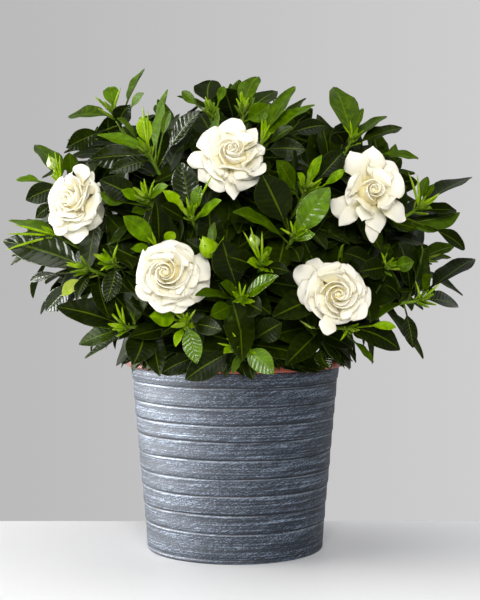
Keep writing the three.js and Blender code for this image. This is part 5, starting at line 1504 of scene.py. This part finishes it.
def make_looks():
    """Each material by its short name."""
    upper = leaf_colour(LEAF_STOPS, VEIN_COLOUR, VEIN_SHARE)
    under = leaf_colour(UNDER_STOPS, UNDER_VEIN_COLOUR, 0.5)
    return {
        # Waxy gloss over a blade that is puffed between its veins: what tells a gardenia from other shrubs
        "leaf_upper": new_look("waxy leaf upper face", upper, 0.32, leaf_veins, 0.12,
                               Specular_IOR_Level=0.045),
        # The same blade where it mirrors the light, which its veins break into bars
        "leaf_shiny": new_look("glossy leaf upper face", upper, 0.2, leaf_veins, 0.24,
                               Specular_IOR_Level=0.34),
        # Paler and dull, with its veins showing, where a leaf turns its back
        "leaf_under": new_look("matt leaf underside", under, 0.55, leaf_veins, 0.2,
                               Specular_IOR_Level=0.03),
        # Young green shoots with a soft sheen
        "green_stem": new_look("green shoot bark", mottled(STEM_STOPS, 12), 0.45, Specular_IOR_Level=0.15),
        # Whitish green of a rolled bud
        "green_bud": new_look("unopened bud", mottled(BUD_STOPS, 5), 0.4),
        # Soft ivory petals that glow a little where light comes through
        "petal": new_look("ivory petal", petal_colour, 0.5, pitted(3, 2), 0.16, Subsurface_Weight=0.25,
                          Subsurface_Scale=0.003, Subsurface_Radius=(1.0, 0.9, 0.6)),
        # Pale green foot of a bloom
        "petal_neck": new_look("pale green petal neck", "#cdd596", 0.5),
        # Grey-brown, cracked along its length
        "bark": new_look("shrub bark", mottled(BARK_STOPS, 5, 4, (1, 1, 0.3)), 0.8,
                         pitted(3, 4, (1, 1, 0.3)), 0.5),
        # Damp dark crumb
        "soil": new_look("potting soil", mottled(SOIL_STOPS, 4, 4), 0.95, pitted(2, 4), 1.0),
        # Chalky blue-grey sheet with fine brushed streaks, and a dull metal gleam
        "zinc": new_look("brushed galvanised zinc", zinc_colour, zinc_roughness, zinc_streaks, 0.04,
                         Metallic=0.22),
        # Salmon-red moulded flange
        "plastic": new_look("terracotta plastic", mottled(PLASTIC_STOPS, 20), 0.42),
        # Plain white table top
        "table": new_look("white painted table", "#efefee", 0.5),
    }


# Stage, lights and camera
def box_object(name, low, high, look):
    """A plain box of the stage."""
    mesh = bpy.data.meshes.new(name)
    corners = [(x, y, z) for x in (low[0], high[0]) for y in (low[1], high[1]) for z in (low[2], high[2])]
    faces = [(0, 1, 3, 2), (4, 6, 7, 5), (0, 4, 5, 1), (2, 3, 7, 6), (0, 2, 6, 4), (1, 5, 7, 3)]
    mesh.from_pydata([Vector(corner) * MM for corner in corners], [], faces)
    mesh.materials.append(look)
    made = new_object(name, mesh)


def area_light(name, place, target, size, watts, colour):
    """A lit rectangle that faces its target."""
    data = bpy.data.lights.new(name, "AREA")
    data.shape = "RECTANGLE"
    data.size = size[0] * MM
    data.size_y = size[1] * MM
    data.energy = watts
    data.color = linear(colour)[:3]
    light = new_object(name, data)
    light.location = Vector(place) * MM
    light.rotation_euler = (Vector(target) - Vector(place)).to_track_quat("-Z", "Y").to_euler()
    return light


def soft_world():
    """Grey wall behind, painted darker at the left and lighter at the right, and air that is bright only at
    the far left.
    """
    world = bpy.data.worlds.new("soft studio")
    world.use_nodes = True
    tree = world.node_tree
    place = add(tree, "ShaderNodeTexCoord").outputs["Generated"]
    way = add(tree, "ShaderNodeSeparateXYZ", place).outputs
    side = add(tree, MATH, way["Y"], -0.25, way["X"], operation="MULTIPLY_ADD")
    air = add(tree, RAMP, add(tree, RANGE, side, -1.1, 0.9, **SMOOTH), stops=AIR_STOPS)
    right = add(tree, RANGE, way["X"], -0.3, 0.3, **SMOOTH)
    greys = {"Factor": right, 6: linear(WALL_LEFT), 7: linear(WALL_RIGHT)}
    wall = add(tree, MIX, greys, **COLOURS).outputs[2]
    glow = add(tree, "ShaderNodeBackground", {"Color": air, "Strength": AIR_STRENGTH})
    backdrop = add(tree, "ShaderNodeBackground", {"Color": wall, "Strength": 1.0})
    seen = add(tree, "ShaderNodeLightPath").outputs["Is Camera Ray"]
    slant = add(tree, MATH, way["X"], 0.6, way["Y"], operation="MULTIPLY_ADD")
    behind = add(tree, RANGE, slant, 0.3, 0.8, **SMOOTH)
    mirrored = add(tree, MATH, behind, WALL_MIRRORED, operation="MULTIPLY")
    wall_share = add(tree, MATH, seen, mirrored, operation="MAXIMUM")
    both = add(tree, "ShaderNodeMixShader", wall_share, glow, backdrop)
    join(tree, both, tree.nodes["World Output"].inputs["Surface"])
    bpy.context.scene.world = world


def camera():
    """The photograph's view."""
    wide, tall = PICTURE_PX
    data = bpy.data.cameras.new("photo view")
    data.sensor_width = SENSOR
    data.lens = FOCAL_PX * SENSOR / tall
    data.shift_x = (wide / 2 - CENTRE_PX) / tall
    data.shift_y = (HORIZON_PX - tall / 2) / tall
    made = new_object("photo view", data)
    made.location = EYE * MM
    made.rotation_euler = (math.pi / 2, 0, 0)
    bpy.context.scene.camera = made


def plan_shoots():
    """The shoots in view, then the ones out of view."""
    shoots = []
    for index, row in enumerate(SHOOTS):
        px, py = row["apex"]
        tip = at(px, py, crown_depth(px, py) + APEX_INSET)
        leaves, spikes, bud = row["leaves"], row["spikes"], row.get("bud")
        shoots.append(Shoot(row["name"], index, tip, leaves, spikes, bud, INNER_PAIRS))
    wide, deep, tall = BACK_INSET
    for name, turn, rise in BACK_SHOOTS:
        turn, rise = math.radians(turn), math.radians(rise)
        tip = Vector((math.cos(rise) * math.cos(turn) * (CROWN_HALF_WIDTH - wide),
                      math.cos(rise) * math.sin(turn) * (CROWN_HALF_DEPTH - deep),
                      CROWN_CENTRE.z + math.sin(rise) * (CROWN_HALF_HEIGHT - tall)))
        shoots.append(Shoot(name, len(shoots), tip, pairs=BACK_PAIRS))
    return shoots


class Plant:
    """The whole plan: blooms, shoots, stalks, limbs, the leaves in view and the rim leaves."""

    def __init__(self):
        self.blooms = [Bloom(index, row) for index, row in enumerate(BLOOMS)]
        self.shoots = plan_shoots()
        self.stalks = []
        for bloom in self.blooms:
            tip = bloom.heart - bloom.way * (BLOOM_NECK + SEAT_GAP)
            index = len(self.shoots) + len(self.stalks)
            self.stalks.append(Shoot(f"{bloom.name}_stalk", index, tip, end_way=bloom.way))
        self.leaves = {shoot.name: matched_leaves(shoot) for shoot in self.shoots}
        self.seen = SeenLeaves([form for forms in self.leaves.values() for form in forms])
        self.limbs = limb_lines()
        self.skirts = plan_skirts(self)


def build():
    """Every piece: shoots, blooms on their stalks, wood, pots and soil."""
    plant = Plant()
    for shoot in plant.shoots:
        shoot_piece(plant, shoot)
    for bloom, stalk in zip(plant.blooms, plant.stalks):
        bloom_piece(bloom)
        stalk_piece(plant, bloom, stalk)
    woody_piece(plant.limbs, plant.shoots + plant.stalks)
    zinc_piece()
    grow_piece()
    soil_piece()
    scatter_crumbs()


LOOKS = make_looks()
build()
box_object("table", TABLE_LOW, TABLE_HIGH, LOOKS["table"])
for lamp in LAMPS:
    area_light(*lamp)
# The low strip only shows where it is mirrored, in the pot's left flank
area_light(*STRIP).visible_diffuse = False
soft_world()
camera()
bpy.context.scene.view_settings.view_transform = "Standard"
